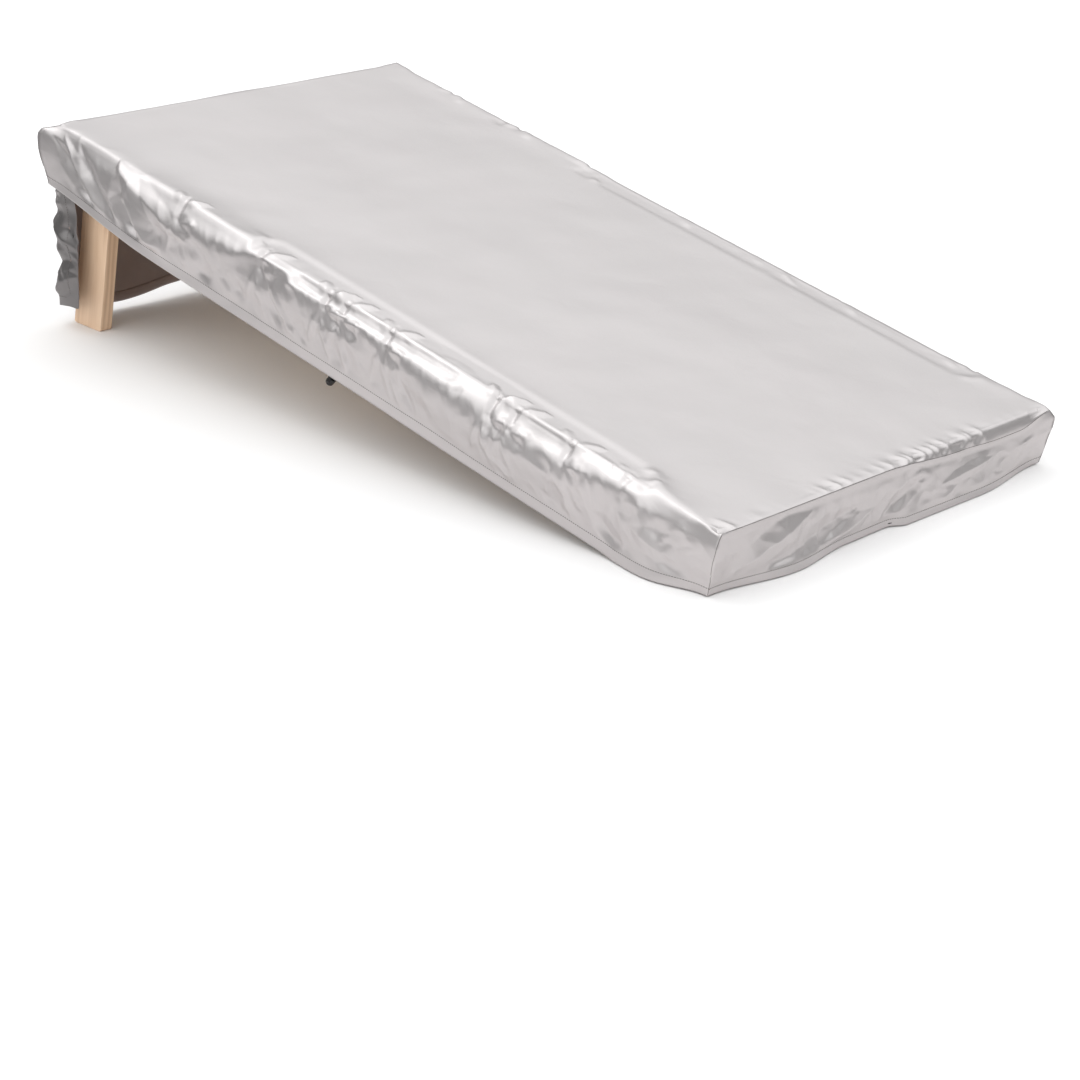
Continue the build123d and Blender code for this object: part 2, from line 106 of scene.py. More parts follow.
# Zones by the near side's edge, the front edge and the flap's side where the creases need finer cells
FINE_SIDE = 34 * MM
FINE_FRONT = 20 * MM
FINE_FLAP = 60 * MM

# Hem, stitches and seams
HEM_WIDTH = 13 * MM
HEM_CHANNEL = 2.8 * MM
HEM_CLOTH = 0.5 * MM
HEM_GAP = 0.2 * MM
HEM_SECTIONS = 6
STITCH_PITCH = 3.4 * MM
STITCH_LENGTH = 2.3 * MM
STITCH_HALF_WIDTH = 0.35 * MM
STITCH_HEIGHT = 0.35 * MM
STITCH_PROFILE = ((-0.5, 0.1), (-0.3, 1.0), (0.3, 1.0), (0.5, 0.1))
SEAM_PITCH = 2 * MM
SEAM_RADIUS = 0.3 * MM

# The drawcord: its place in the hem in rows above the edge, where each end leaves the hem (y), its hole
# in the lock (y, z), and its outer bend and knot (x)
CORD_RADIUS = 1.1 * MM
CORD_CLEARANCE = 0.4 * MM
CORD_ROW = 0.75
CORD_EXITS = (8.3 * MM, 11.0 * MM)
CORD_EXIT_LIFT = 1.9 * MM
CORD_HOLES = ((15.1 * MM, -106.6 * MM), (17.1 * MM, -105.4 * MM))
CORD_OUT_X = -317.6 * MM
CORD_KNOT_X = -281.3 * MM
KNOT_RADIUS = 3.5 * MM

# Heading of the skirt's cross-section, row by row below its edge: 0 is outwards, 90 is straight down and
# more than 90 turns back in under the edge
NEAR_HEADINGS = (24, 48, 64, 73, 80, 95, 113, 120, 116, 104, 94, 90)
FAR_HEADINGS = (38, 68, 88, 97, 99, 96, 93, 91, 90, 89, 89, 90)
BACK_HEADINGS = (34, 66, 88, 98, 99, 96, 93, 92, 92, 93, 93, 93)
FRONT_HEADINGS = (112, 84, 88, 90, 90, 90, 90, 90, 90, 90, 90, 90)

# Places along the long sides where the cover is pinched at its top edge: y and strength
NEAR_PINCHES = ((0.330, 0.8), (0.165, 0.7), (0.040, 1.15), (0.008, 0.9), (-0.075, 0.7))
NEAR_PINCHES += ((-0.262, 1.1), (-0.296, 0.7), (-0.385, 0.6), (-0.475, 0.35))
FAR_PINCHES = ((0.480, 0.6), (0.335, 0.7), (0.190, 0.5), (0.012, 0.8))
FAR_PINCHES += ((-0.120, 0.5), (-0.285, 0.7), (-0.450, 0.6))
FAR_PINCH_SHARE = 0.6

# The next four tables are in millimetres. Each crease has a start and an end (along its side, drop), a
# width and a height. One pinch is a nick with facets beside it and creases that fan out below
PINCH_CREASES = (
    ((6, -15), (-4, 28), 7, -3.8), ((-1, 4), (-34, -22), 10, 3.6), ((4, 4), (30, -14), 9, 2.4),
    ((6, 20), (-38, 32), 14, -4.2), ((-6, 24), (-42, 16), 8, 3.0), ((0, 30), (-30, 86), 8, 2.6),
    ((3, 26), (16, 72), 7, 2.2),
)

# Long creases down the near skirt. The far skirt has the same ones, turned end for end and lower
NEAR_CREASES = (
    ((476, -4), (345, 98), 26, 13.0), ((474, 6), (400, 96), 28, -11.0), ((478, 2), (300, 44), 16, 5.0),
    ((606, 10), (500, 94), 16, -8.0), ((592, 4), (470, 92), 14, 6.0), ((556, 4), (445, 94), 15, -6.0),
    ((165, 12), (70, 88), 9, 2.2), ((150, 20), (105, 80), 8, -1.8), ((-75, 10), (-120, 84), 8, 2.0),
    ((-110, 40), (-150, 88), 9, -2.0), ((-262, 16), (-272, 66), 8, 2.4),
    ((-272, 58), (-345, 94), 8, 2.4), ((-360, 66), (-420, 92), 15, -3.0),
    ((-440, 50), (-500, 92), 16, -3.5), ((-500, 44), (-575, 64), 14, 3.0),
)
FAR_CREASE_SHIFT = 60 * MM
FAR_CREASE_SHARE = 0.7

# Soft folds on the front skirt
FRONT_CREASES = (
    ((-285, 70), (-150, 14), 26, 4.2), ((-245, 84), (-60, 36), 22, -4.5),
    ((-140, 88), (-30, 50), 16, 4.2), ((-20, 74), (60, 22), 16, -3.5), ((90, 50), (200, 30), 14, 3.0),
)

# Creases on the back flap's wrapped sides, from the side inwards
FLAP_CREASES = (
    ((-6, 176), (70, 140), 16, 6.5), ((-6, 190), (75, 210), 15, -6.0), ((-2, 212), (60, 252), 16, 6.0),
    ((36, 112), (50, 186), 12, -4.0), ((16, 110), (28, 160), 10, 3.0),
)
FLAP_CREASE_SHIFT = 10 * MM

# Fields of small random creases: zone, seed, how many, their range along it and in drop, and height
CRUMPLED = (
    ("left", 31, 40, (-0.60, 0.30), (0.012, 0.045), 0.8 * MM),
    ("left", 32, 60, (-0.60, 0.60), (0.03, 0.085), 1.2 * MM),
    ("right", 33, 80, (-0.60, 0.60), (-0.006, 0.08), 1.2 * MM),
    ("front", 34, 40, (-0.30, 0.30), (0.01, 0.07), 0.7 * MM),
    ("flap", 35, 60, (-0.31, 0.31), (0.01, 0.25), 2.0 * MM),
    ("flap_left", 36, 22, (-0.05, -0.01), (0.10, 0.24), 2.4 * MM),
    ("flap_right", 37, 22, (-0.05, -0.01), (0.10, 0.24), 2.4 * MM),
)

# Random relief over the skirts, along the top's long edges and over the top: height, the size of its
# creases or dents, and seed
SKIRT_RELIEF = ((1.3 * MM, 60 * MM, 3), (0.7 * MM, 24 * MM, 5))
EDGE_RELIEF = ((0.25 * MM, 34 * MM, 1),)
TOP_RELIEF = ((1.2 * MM, 150 * MM, 4), (0.4 * MM, 55 * MM, 6))

# Tucks at the front seam
TUCK_SPACING = 21 * MM
TUCK_HEIGHT = 4.2 * MM
TUCK_LENGTH = 15 * MM
TUCK_START = 5 * MM
TUCK_LEAN = 0.25

# Camera
CAMERA_PLACE = Vector((-2.26738, -2.26484, 1.14810))
CAMERA_AIM = Vector((0.66004, 0.64107, -0.39163))
CAMERA_ROLL = math.radians(2.097)
CAMERA_LENS = 85.2
CAMERA_SENSOR = 36.0
CAMERA_FAR = 50

# The room: white to the camera, and in mirror reflections dark below one height and white above another
ROOM_LIGHT = 1.2
ROOM_SEEN = 1.1
ROOM_DARK = (0.28, (0.06, 0.058, 0.057))
ROOM_WHITE = (0.62, (1, 1, 1))

# The floor to the camera, to soft light, and in mirror reflections, where it darkens with distance
FLOOR_HALF = 9
FLOOR_SEEN = ((0.95, 0.95, 0.95), (0.97, 0.97, 0.97))
FLOOR_LIT = (0.82, 0.81, 0.80, 1.0)
FLOOR_NEAR = 0.75
FLOOR_NEAR_TONE = (0.72, 0.70, 0.70)
FLOOR_FAR = 1.5
FLOOR_FAR_TONE = (0.10, 0.097, 0.097)

# Lamps: name, place, size, power and colour. They point at the same place
LAMPS = (
    ("key_light", (-0.9, 1.9, 4.2), 2.0, 17, (1.0, 0.995, 0.985)),
    ("left_light", (-2.8, -1.2, 0.9), 1.6, 4, (1, 1, 1)),
)
LAMP_TARGET = (0, 0, 0.15)


def joint_named(name):
    """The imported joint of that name."""
    return next(joint for joint in frame["joints"] if joint["name"] == name)


board_up = Vector(joint_named("cover_lift_off")["axis"]).normalized()
board_along = Vector((0, board_up.z, -board_up.y))
board_across = Vector((1, 0, 0))


def reach(node, direction):
    """Lowest and highest distance of a CAD node's points along a direction."""
    distances = [vertex.co.dot(direction) for vertex in frame["nodes"][node].data.vertices]
    return min(distances), max(distances)


board_origin = (
    board_across * sum(reach("deck_panel", board_across)) / 2
    + board_along * sum(reach("deck_panel", board_along)) / 2
    + board_up * reach("deck_panel", board_up)[1]
)
board_axes = np.array([board_across, board_along, board_up])


def to_row(points):
    """Row-frame places of board-frame points."""
    return np.asarray(points) @ board_axes + np.array(board_origin)


def to_board(points):
    """Board-frame places of row-frame points."""
    return (np.asarray(points) - np.array(board_origin)) @ board_axes.T


def on_board(x, y, z):
    """Row-frame place of one board-frame point."""
    return Vector(to_row([x, y, z]))


def span(node, direction):
    """Lowest and highest distance of a CAD node along a direction, from the middle of the deck's top."""
    start = board_origin.dot(direction)
    low, high = reach(node, direction)
    return low - start, high - start


deck_half_width = -span("deck_panel", board_across)[0]
deck_half_length = -span("deck_panel", board_along)[0]
half_width = span("cover_top_panel", board_across)[1]
half_length = span("cover_top_panel", board_along)[1]
cover_top = span("cover_top_panel", board_up)[1]
side_depth = -span("cover_left_skirt", board_up)[0]
flap_depth = -span("cover_back_flap", board_up)[0]
board_depth = -span("left_side_rail", board_up)[0]

# Shape curves, as (place, value) points: how full the long sides are at the front, and how much less at
# the back; how much of its overhang the front seam has; how far the front hem is turned out, left and
# right; how far a side hem stands out; how deep the back flap is; how much the side hem rises towards the
# back; and how strong the tucks at the front seam are
FULL_AT_FRONT = ((-half_length, 0.15), (-0.5, 0.65), (-0.3, 1.0))
LESS_AT_BACK = ((0.34, 0.0), (0.47, 0.45), (half_length, 0.75))
HANG_SHARE = ((-0.02, 0.0), (0.13, 0.75), (0.2, 1.0), (0.25, 1.0), (half_width, 0.15))
FLARE_LEFT = ((-half_width, 0.001), (-0.18, 0.022), (-0.08, 0.009), (0.0, 0.008))
FLARE_RIGHT = ((0.0, 0.0), (0.02, 0.011), (0.17, 0.012), (half_width, -0.006))
SIDE_FLARE = ((-half_length, 0.0), (-0.545, 0.015), (-0.46, 0.004), (0.4, 0.004), (half_length, 0.0))
FLAP_LENGTH = ((0.0, 0.255), (0.09, 0.268), (0.17, 0.277), (0.25, 0.262), (half_width, 0.244))
HEM_RISE = ((0.4, 0.0), (half_length, 0.009))
GATHERED = ((-0.31, 1.0), (-0.27, 0.2), (-0.16, 0.0), (-0.1, 0.5))
GATHERED += ((-0.04, 0.2), (0.03, 1.0), (0.16, 0.9), (0.22, 0.1))

# The ear at each corner: its share of the full reach by drop, and that reach at the front left, front
# right, back left and back right
EAR_DROPS = (0.0, 8 * MM, 60 * MM, side_depth)
EAR_SHARES = (0.35, 1.0, 0.4, -0.2)
EAR_OUT = (2 * MM, 6 * MM, 13 * MM, 7 * MM)


def floor_below(y):
    """Board-frame z of the floor under board-frame y."""
    return -(board_origin.z + y * board_along.z) / board_up.z


def ease(value):
    """Smooth step from 0 to 1."""
    t = np.clip(value, 0, 1)
    return t * t * (3 - 2 * t)


def through(where, points):
    """Smooth curve through (place, value) points, read at where."""
    places, values = zip(*points)
    result = np.full(np.shape(where), values[0], float)
    for low, high, start, end in zip(places, places[1:], values, values[1:]):
        result += (end - start) * ease((where - low) / (high - low))
    return result


def bell(value):
    """Bell curve, 1 in the middle."""
    return np.exp(-value * value)


def rough_line(where, spacing, seed):
    """Smooth random curve between -1 and 1 along a line, its knots spacing apart."""
    count = 4096
    knots = np.random.default_rng(seed).uniform(-1, 1, count)
    place = np.asarray(where) / spacing + count / 2
    index = np.floor(place).astype(int)
    t = ease(place - index)
    return knots[index] * (1 - t) + knots[index + 1] * t


class Sheet:
    """Numbering of the cover's points: a grid over the top, rings of skirt below its edge, and more rows
    for the back flap."""

    def __init__(self):
        self.columns = round(2 * half_width / CELL)
        self.lines = round(2 * half_length / CELL)
        self.skirt_rows = round(side_depth / CELL)
        self.flap_rows = round((flap_depth - side_depth) / CELL)
        self.last_row = self.skirt_rows + self.flap_rows
        self.ring = 2 * (self.columns + self.lines)
        self.top_count = (self.columns + 1) * (self.lines + 1)
        self.back_start = self.columns + self.lines
        self.back_end = self.back_start + self.columns
        self.skirt_count = self.skirt_rows * self.ring
        self.count = self.top_count + self.skirt_count + self.flap_rows * (self.columns + 1)
        self.corners = (0, self.columns, self.back_start, self.back_end)

    def top(self, i, j):
        return j * (self.columns + 1) + i

    def across(self, j, i):
        return self.top(i, j)

    def top_points(self):
        """Every grid place of the top, with its distance from the edge in cells."""
        for j in range(self.lines + 1):
            for i in range(self.columns + 1):
                yield i, j, min(i, self.columns - i, j, self.lines - j)

    def edge(self, p):
        """Grid place (i, j) of the ring's point p, counter-clockwise from the front left corner."""
        p = p % self.ring
        if p < self.columns:
            return p, 0
        if p < self.back_start:
            return self.columns, p - self.columns
        if p < self.back_end:
            return self.columns - (p - self.back_start), self.lines
        return 0, self.lines - (p - self.back_end)

    def skirt(self, p, k):
        """Point p of the ring, k rows below the edge."""
        if k == 0:
            return self.top(*self.edge(p))
        return self.top_count + (k - 1) * self.ring + p % self.ring

    def flap(self, q, k):
        """Point q of the back edge, counted from the right, k rows below the edge."""
        if k <= self.skirt_rows:
            return self.skirt(self.back_start + q, k)
        row = k - self.skirt_rows - 1
        return self.top_count + self.skirt_count + row * (self.columns + 1) + q

    def faces(self):
        """The cells of the top, the skirt and the flap."""

        def cell(point, a, b):
            return point(a, b), point(a, b + 1), point(a + 1, b + 1), point(a + 1, b)

        flap_rows = range(self.skirt_rows, self.last_row)
        found = [cell(self.across, j, i) for j in range(self.lines) for i in range(self.columns)]
        found += [cell(self.skirt, p, k) for k in range(self.skirt_rows) for p in range(self.ring)]
        return found + [cell(self.flap, q, k) for k in flap_rows for q in range(self.columns)]


sheet = Sheet()


# The cover as cut and laid over the board
def puff(side, y):
    """How much of its rounded cross-section a long side has along its length, from 0 to about 1."""
    waver = 1 + 0.16 * rough_line(y, 85 * MM, 11 + side)
    return (through(y, FULL_AT_FRONT) - through(y, LESS_AT_BACK)) * waver


def cross_section(headings, share):
    """How far a skirt stands out and how deep it is at each row: arrays of rows by ring points."""
    turn = np.array(headings, float)[:, None]
    heading = np.radians(90 + (turn - 90) * share[None, :])
    out = CELL * np.cumsum(np.cos(heading), axis=0)
    deep = CELL * np.cumsum(np.sin(heading), axis=0)
    return out, deep / deep[-1]


def corner_ear(x, y, drop):
    """How far each corner's loose fabric stands out below its top edge: a fin that narrows downwards."""
    to_corner = half_width - np.abs(x) + half_length - np.abs(y)
    fin = np.interp(drop, EAR_DROPS, EAR_SHARES)
    front_left, front_right, back_left, back_right = EAR_OUT
    front = np.where(x < 0, front_left, front_right)
    back = np.where(x < 0, back_left, back_right)
    return np.where(y < 0, front, back) * fin * np.exp(-to_corner / EAR_REACH)


def overhang(x):
    """How far the front seam hangs below the deck's edge, in the half where the top is pulled over it."""
    return OVERHANG * through(x, HANG_SHARE)


def skirt_places():
    """Board-frame places of the skirt's points below the edge, one array per row."""
    edges = np.array([sheet.edge(p) for p in range(sheet.ring)], float)
    x = (edges[:, 0] / sheet.columns * 2 - 1) * half_width
    y = (edges[:, 1] / sheet.lines * 2 - 1) * half_length
    on_left = edges[:, 0] == 0
    on_right = edges[:, 0] == sheet.columns
    on_front = edges[:, 1] == 0
    on_back = edges[:, 1] == sheet.lines
    near_out, near_deep = cross_section(NEAR_HEADINGS, puff(-1, y))
    far_out, far_deep = cross_section(FAR_HEADINGS, puff(1, y))
    front_out, front_deep = cross_section(FRONT_HEADINGS, np.ones(sheet.ring))
    back_out, back_deep = cross_section(BACK_HEADINGS, 0.8 + 0.2 * rough_line(x, 70 * MM, 6))
    front_flare = through(x, FLARE_LEFT) + through(x, FLARE_RIGHT)
    hem_drop = side_depth - through(y, HEM_RISE)
    hem_drop = np.minimum(hem_drop, -floor_below(y - front_flare * on_front) - FLOOR_GAP)
    start = overhang(x) * on_front
    sides = [on_left, on_right, on_front]
    rows = []
    for row in range(sheet.skirt_rows):
        share = (row + 1) / sheet.skirt_rows
        deep = np.select(sides, [near_deep[row], far_deep[row], front_deep[row]], back_deep[row])
        drop = start + deep * (hem_drop - start)
        ear = corner_ear(x, y, drop)
        turned = ease((share - 0.45) / 0.55)
        opening = min(1.0, share * 6)
        side_out = SIDE_CLEARANCE * opening + turned * through(y, SIDE_FLARE) + ear
        out_x = on_right * (far_out[row] + side_out) - on_left * (near_out[row] + side_out)
        front_push = FRONT_CLEARANCE + front_out[row] + share**1.3 * front_flare + ear
        back_push = BACK_CLEARANCE * opening + back_out[row] + 0.5 * ear
        out_y = on_back * back_push - on_front * front_push
        rows.append(np.stack([x + out_x, y + out_y, -drop], axis=1))
    return rows


def flap_places(last_row):
    """Board-frame places of the flap's points below the skirt's last row. Its sides wrap forwards."""
    start = last_row[sheet.back_start : sheet.back_end + 1]
    across = start[:, 0]
    reach_out = np.abs(across).max()
    full = through(np.abs(across), FLAP_LENGTH)
    corner = 20 * MM
    rows = []
    for k in range(1, sheet.flap_rows + 1):
        share = k / sheet.flap_rows
        depth = -start[:, 2] + share * (full + start[:, 2])
        wrap = FLAP_WRAP * (0.7 + 0.3 * ease(share * 4))
        along = np.abs(across) * (reach_out + wrap) / reach_out
        beyond = along - reach_out + 0.3 * FLAP_WRAP_ROUND
        turned = 0.5 * (beyond + np.sqrt(beyond**2 + FLAP_WRAP_ROUND**2))
        fold = FLAP_FOLD * rough_line(across + 0.3 * depth, 45 * MM, 8) * ease(share * 2)
        lean = FLAP_LEAN * (depth + start[:, 2])
        x = np.sign(across) * (along - turned + fold * (turned > corner))
        y = start[:, 1] - lean - turned + fold * (turned < corner)
        lift = 0.55 * turned * (1 - ease(share * 2.5))
        rows.append(np.stack([x, y, lift - depth], axis=1))
    return rows


def top_places():
    """Board-frame places of the top panel's points: flat, with soft round long sides."""
    i, j = np.meshgrid(np.arange(sheet.columns + 1), np.arange(sheet.lines + 1))
    x = (i / sheet.columns * 2 - 1) * half_width
    y = (j / sheet.lines * 2 - 1) * half_length
    to_side = half_width - np.abs(x)
    to_front = half_length + y
    fullness = np.where(x < 0, puff(-1, y), 0.3 * puff(1, y))
    swell = TOP_SWELL * fullness * bell(to_side / (30 * MM))
    hang = overhang(x)
    pulled = hang / OVERHANG * np.where(j == 0, 0.2, np.exp(-(to_front - CELL) / (16 * MM)))
    folded = np.clip(1 - to_front / SEAM_FOLD, 0, 1)
    ear_dip = EAR_DIP * (x < 0) * (y > 0) * np.exp(-(to_side + half_length - y) / EAR_REACH)
    z = cover_top + TOP_LIFT + swell - hang * folded - ear_dip
    seam_out = 0.5 * SEAM_FOLD * folded
    return np.stack([x, y - SEAM_FOLD * pulled - seam_out, z], axis=-1).reshape(-1, 3)


def sheet_places():
    """Board-frame places of every point, as cut and laid over the board, before it drapes."""
    skirt = skirt_places()
    return np.concatenate([top_places()] + skirt + flap_places(skirt[-1]))


# Meshes
def linked(name, data):
    """A new object in the scene."""
    made = bpy.data.objects.new(name, data)
    bpy.context.scene.collection.objects.link(made)
    return made


def mesh_object(name, points, faces, material=None):
    """A mesh object from row-frame points."""
    mesh = bpy.data.meshes.new(name)
    mesh.from_pydata([tuple(point) for point in points], [], faces)
    mesh.validate()
    mesh.update()
    if material:
        mesh.materials.append(material)
    return linked(name, mesh)


def block(name, low, high):
    """A board-frame box, for the cloth to rest on."""
    corners = [
        to_row([x, y, z])
        for z in (low[2], high[2])
        for y in (low[1], high[1])
        for x in (low[0], high[0])
    ]
    faces = [(0, 2, 3, 1), (4, 5, 7, 6), (0, 1, 5, 4), (1, 3, 7, 5), (3, 2, 6, 7), (2, 0, 4, 6)]
    return mesh_object(name, corners, faces)


def values_of(items, key, count):
    """A vector property of every item of a mesh's list, as an array."""
    flat = np.zeros(count * 3)
    items.foreach_get(key, flat)
    return flat.reshape(-1, 3)


def points_of(mesh):
    """The mesh's points as an array."""
    return values_of(mesh.vertices, "co", len(mesh.vertices))


def set_points(mesh, points):
    mesh.vertices.foreach_set("co", np.asarray(points, float).ravel())
    mesh.update()


def smooth_shaded(mesh):
    for face in mesh.polygons:
        face.use_smooth = True


def evaluated(made):
    """The object as its modifiers leave it."""
    return made.evaluated_get(bpy.context.evaluated_depsgraph_get())


def vertex_group(made, name, weights):
    group = made.vertex_groups.new(name=name)
    for index, weight in enumerate(weights):
        if weight > 0:
            group.add([index], float(weight), "REPLACE")


# The cover's settling over the board
def held_weights():
    """How firmly each point is held: the flat top, the front seam and the drawn hem hold best."""
    weights = np.zeros(sheet.count)
    for i, j, edge in sheet.top_points():
        weights[sheet.top(i, j)] = 1.0 if edge > 4 or j < 2 else 0.45 + 0.1 * edge
    for p in range(sheet.ring):
        for k in range(1, 5):
            weights[sheet.skirt(p, k)] = HELD_SKIRT
        if not sheet.back_start < p < sheet.back_end:
            weights[sheet.skirt(p, sheet.skirt_rows)] = HELD_HEM
            weights[sheet.skirt(p, sheet.skirt_rows - 1)] = HELD_BY_HEM
    for p in sheet.corners:
        for k in range(sheet.skirt_rows + 1):
            weights[sheet.skirt(p, k)] = HELD_HEM
    for q in range(sheet.columns + 1):
        weights[sheet.flap(q, sheet.last_row)] = HELD_HEM
        weights[sheet.flap(q, sheet.last_row - 1)] = HELD_BY_HEM
    for k in range(sheet.skirt_rows, sheet.last_row):
        for q in range(7):
            weights[sheet.flap(q, k)] = HELD_FLAP_SIDE
            weights[sheet.flap(sheet.columns - q, k)] = HELD_FLAP_SIDE
    return weights


def slack_weights():
    """Weights of the cloth's shrink group: full on the skirts, and fading out over the top's edges."""
    weights = np.ones(sheet.count)
    for i, j, edge in sheet.top_points():
        weights[sheet.top(i, j)] = max(0.0, 0.6 * (1 - edge / 5))
    return weights


def rested(points):
    """Keeps row-frame points outside the board: those inside its box rest on its nearest face. None goes
    below the floor."""
    x, y, z = to_board(points).T
    half_x = deck_half_width + DECK_GAP
    half_y = deck_half_length + DECK_GAP
    to_edge = np.minimum(half_x - np.abs(x), half_y - np.abs(y))
    lid = DECK_GAP + DECK_EDGE_GAP * bell(to_edge / CELL)
    inside = (to_edge > 0) & (z < lid) & (z > -board_depth)
    depths = np.stack([x + half_x, half_x - x, y + half_y, half_y - y, lid - z])
    nearest = np.where(inside, np.argmin(depths, axis=0), -1)
    x = np.select([nearest == 0, nearest == 1], [-half_x, half_x], x)
    y = np.select([nearest == 2, nearest == 3], [-half_y, half_y], y)
    z = np.where(nearest == 4, lid, z)
    z = np.maximum(z, floor_below(y) + FLOOR_GAP / board_up.z)
    return to_row(np.stack([x, y, z], axis=1))


def drape(cover):
    """Lets the cover settle over the board by cloth simulation and keeps the result."""
    laid = points_of(cover.data)
    wide = half_width - SETTLE_INSET
    long = half_length - SETTLE_INSET
    board = block("settle_board", (-wide, -long, -board_depth), (wide, long, -SETTLE_SINK))
    board.modifiers.new("solid", "COLLISION")
    board.collision.thickness_outer = 1 * MM
    vertex_group(cover, "held", held_weights())
    vertex_group(cover, "slack", slack_weights())
    cloth = cover.modifiers.new("drape", "CLOTH")
    for setting, value in CLOTH.items():
        setattr(cloth.settings, setting, value)
    cloth.settings.vertex_group_mass = "held"
    # No shrinkage is set, but the cloth settles differently without this group
    cloth.settings.vertex_group_shrink = "slack"
    cloth.settings.effector_weights.gravity = 0.0
    cloth.collision_settings.distance_min = 1.5 * MM
    cloth.point_cache.frame_start = 1
    cloth.point_cache.frame_end = SETTLE_FRAMES + 2
    scene = bpy.context.scene
    for step in range(1, SETTLE_FRAMES + 1):
        scene.frame_set(step)
    settled = evaluated(cover)
    points = points_of(settled.to_mesh())
    settled.to_mesh_clear()
    cover.modifiers.remove(cloth)
    cover.vertex_groups.clear()
    bpy.data.objects.remove(board)
    scene.frame_set(1)
    shift = points - laid
    far = np.linalg.norm(shift, axis=1)
    share = np.minimum(1, MAX_SHIFT / np.maximum(far, 1e-9))
    set_points(cover.data, rested(laid + shift * share[:, None]))


def mark_cut(cover):
    """Stores each point's place on the cut sheet: x and y of the top or its edge, and the drop below it."""
    cut = np.zeros((sheet.count, 3))
    for i, j, _ in sheet.top_points():
        cut[sheet.top(i, j)] = (i, j, 0)
    for k in range(1, sheet.skirt_rows + 1):
        for p in range(sheet.ring):
            cut[sheet.skirt(p, k)] = (*sheet.edge(p), k)
    for k in range(sheet.skirt_rows + 1, sheet.last_row + 1):
        for q in range(sheet.columns + 1):
            cut[sheet.flap(q, k)] = (sheet.columns - q, sheet.lines, k)
    cut[:, 0] = (cut[:, 0] / sheet.columns * 2 - 1) * half_width
    cut[:, 1] = (cut[:, 1] / sheet.lines * 2 - 1) * half_length
    cut[:, 2] *= CELL
    attribute = cover.data.attributes.new("cut", "FLOAT_VECTOR", "POINT")
    attribute.data.foreach_set("vector", cut.ravel())


def cut_places(mesh):
    """Each point's place on the cut sheet: x, y and drop."""
    return values_of(mesh.attributes["cut"].data, "vector", len(mesh.vertices)).T


def crease_seams(cover):
    """Keeps the front seam and the corner seams sharp when the cells are halved."""
    sharp = {}
    for i in range(sheet.columns):
        sharp[frozenset((sheet.top(i, 0), sheet.top(i + 1, 0)))] = 1.0
    for column in sheet.corners:
        for k in range(sheet.skirt_rows):
            sharp[frozenset((sheet.skirt(column, k), sheet.skirt(column, k + 1)))] = 1.0
        for p in range(column - CORNER_FOLD, column + CORNER_FOLD):
            fade = 1 - min(abs(p - column), abs(p + 1 - column)) / CORNER_FOLD
            key = frozenset((sheet.skirt(p, 0), sheet.skirt(p + 1, 0)))
            sharp[key] = max(sharp.get(key, 0.0), fade)
    creases = cover.data.attributes.new("crease_edge", "FLOAT", "EDGE")
    for edge in cover.data.edges:
        creases.data[edge.index].value = sharp.get(frozenset(edge.vertices), 0.0)
    tips = cover.data.attributes.new("crease_vert", "FLOAT", "POINT")
    for column in sheet.corners:
        tips.data[sheet.skirt(column, 0)].value = 0.8
        tips.data[sheet.skirt(column, 1)].value = 1.0


def refined(cover):
    """Halves the cover's cells, smoothly."""
    finer = cover.modifiers.new("finer", "SUBSURF")
    finer.levels = 1
    mesh = bpy.data.meshes.new_from_object(evaluated(cover))
    cover.modifiers.remove(finer)
    coarse = cover.data
    cover.data = mesh
    mesh.name = coarse.name
    bpy.data.meshes.remove(coarse)


def detailed(cover):
    """Halves the cells again where the creases are sharpest: near side, front and the flap's left side."""
    x, y, _ = cut_places(cover.data)
    on_flap_side = (half_length - y < HAIR) & (half_width + x < FINE_FLAP)
    fine = (half_width + x < FINE_SIDE) | (half_length + y < FINE_FRONT) | on_flap_side
    mesh = bmesh.new()
    mesh.from_mesh(cover.data)
    mesh.verts.ensure_lookup_table()
    chosen = [edge for edge in mesh.edges if fine[edge.verts[0].index] and fine[edge.verts[1].index]]
    bmesh.ops.subdivide_edges(mesh, edges=chosen, cuts=1, use_grid_fill=True)
    mesh.to_mesh(cover.data)
    mesh.free()


# Creases
def crease(along, drop, start, end, width, height):
    """Push of one sharp straight crease on the sheet, pointed at both ends."""
    run = np.array(end) - np.array(start)
    length = np.linalg.norm(run)
    away = np.stack([along - start[0], drop - start[1]])
    share = (away[0] * run[0] + away[1] * run[1]) / length**2
    off = np.abs(away[0] * run[1] - away[1] * run[0]) / length
    taper = np.clip(3.5 * np.minimum(share, 1 - share), 1e-4, 1)
    return height * np.clip(1 - off / (width * taper), 0, 1) * taper


def creases(along, drop, table, strength=1.0):
    """Push of a table of creases, which is in millimetres."""
    push = np.zeros_like(along)
    for start, end, width, height in table:
        ends = np.array([start, end]) * MM
        push += crease(along, drop, *ends, width * MM, height * strength * MM)
    return push


def crumple(along, drop, seed, count, stretch, depths, size):
    """Push of many small sharp creases at random places, as in coated cloth that has been folded."""
    dice = np.random.default_rng(seed)
    push = np.zeros_like(along)
    for _ in range(count):
        start = np.array([dice.uniform(*stretch), dice.uniform(*depths)])
        turn = dice.normal(0, 0.6) + math.pi * dice.integers(0, 2)
        length = dice.uniform(0.016, 0.05)
        end = start + length * np.array([math.cos(turn), math.sin(turn)])
        height = size * dice.uniform(0.4, 1.0) * dice.choice([-1, 1])
        push += crease(along, drop, start, end, dice.uniform(6, 15) * MM, height)
    return push


def noise_at(points, scale, offset):
    """Smooth noise at each point."""
    return np.array([noise.noise(Vector(point) / scale + Vector(offset)) for point in points])


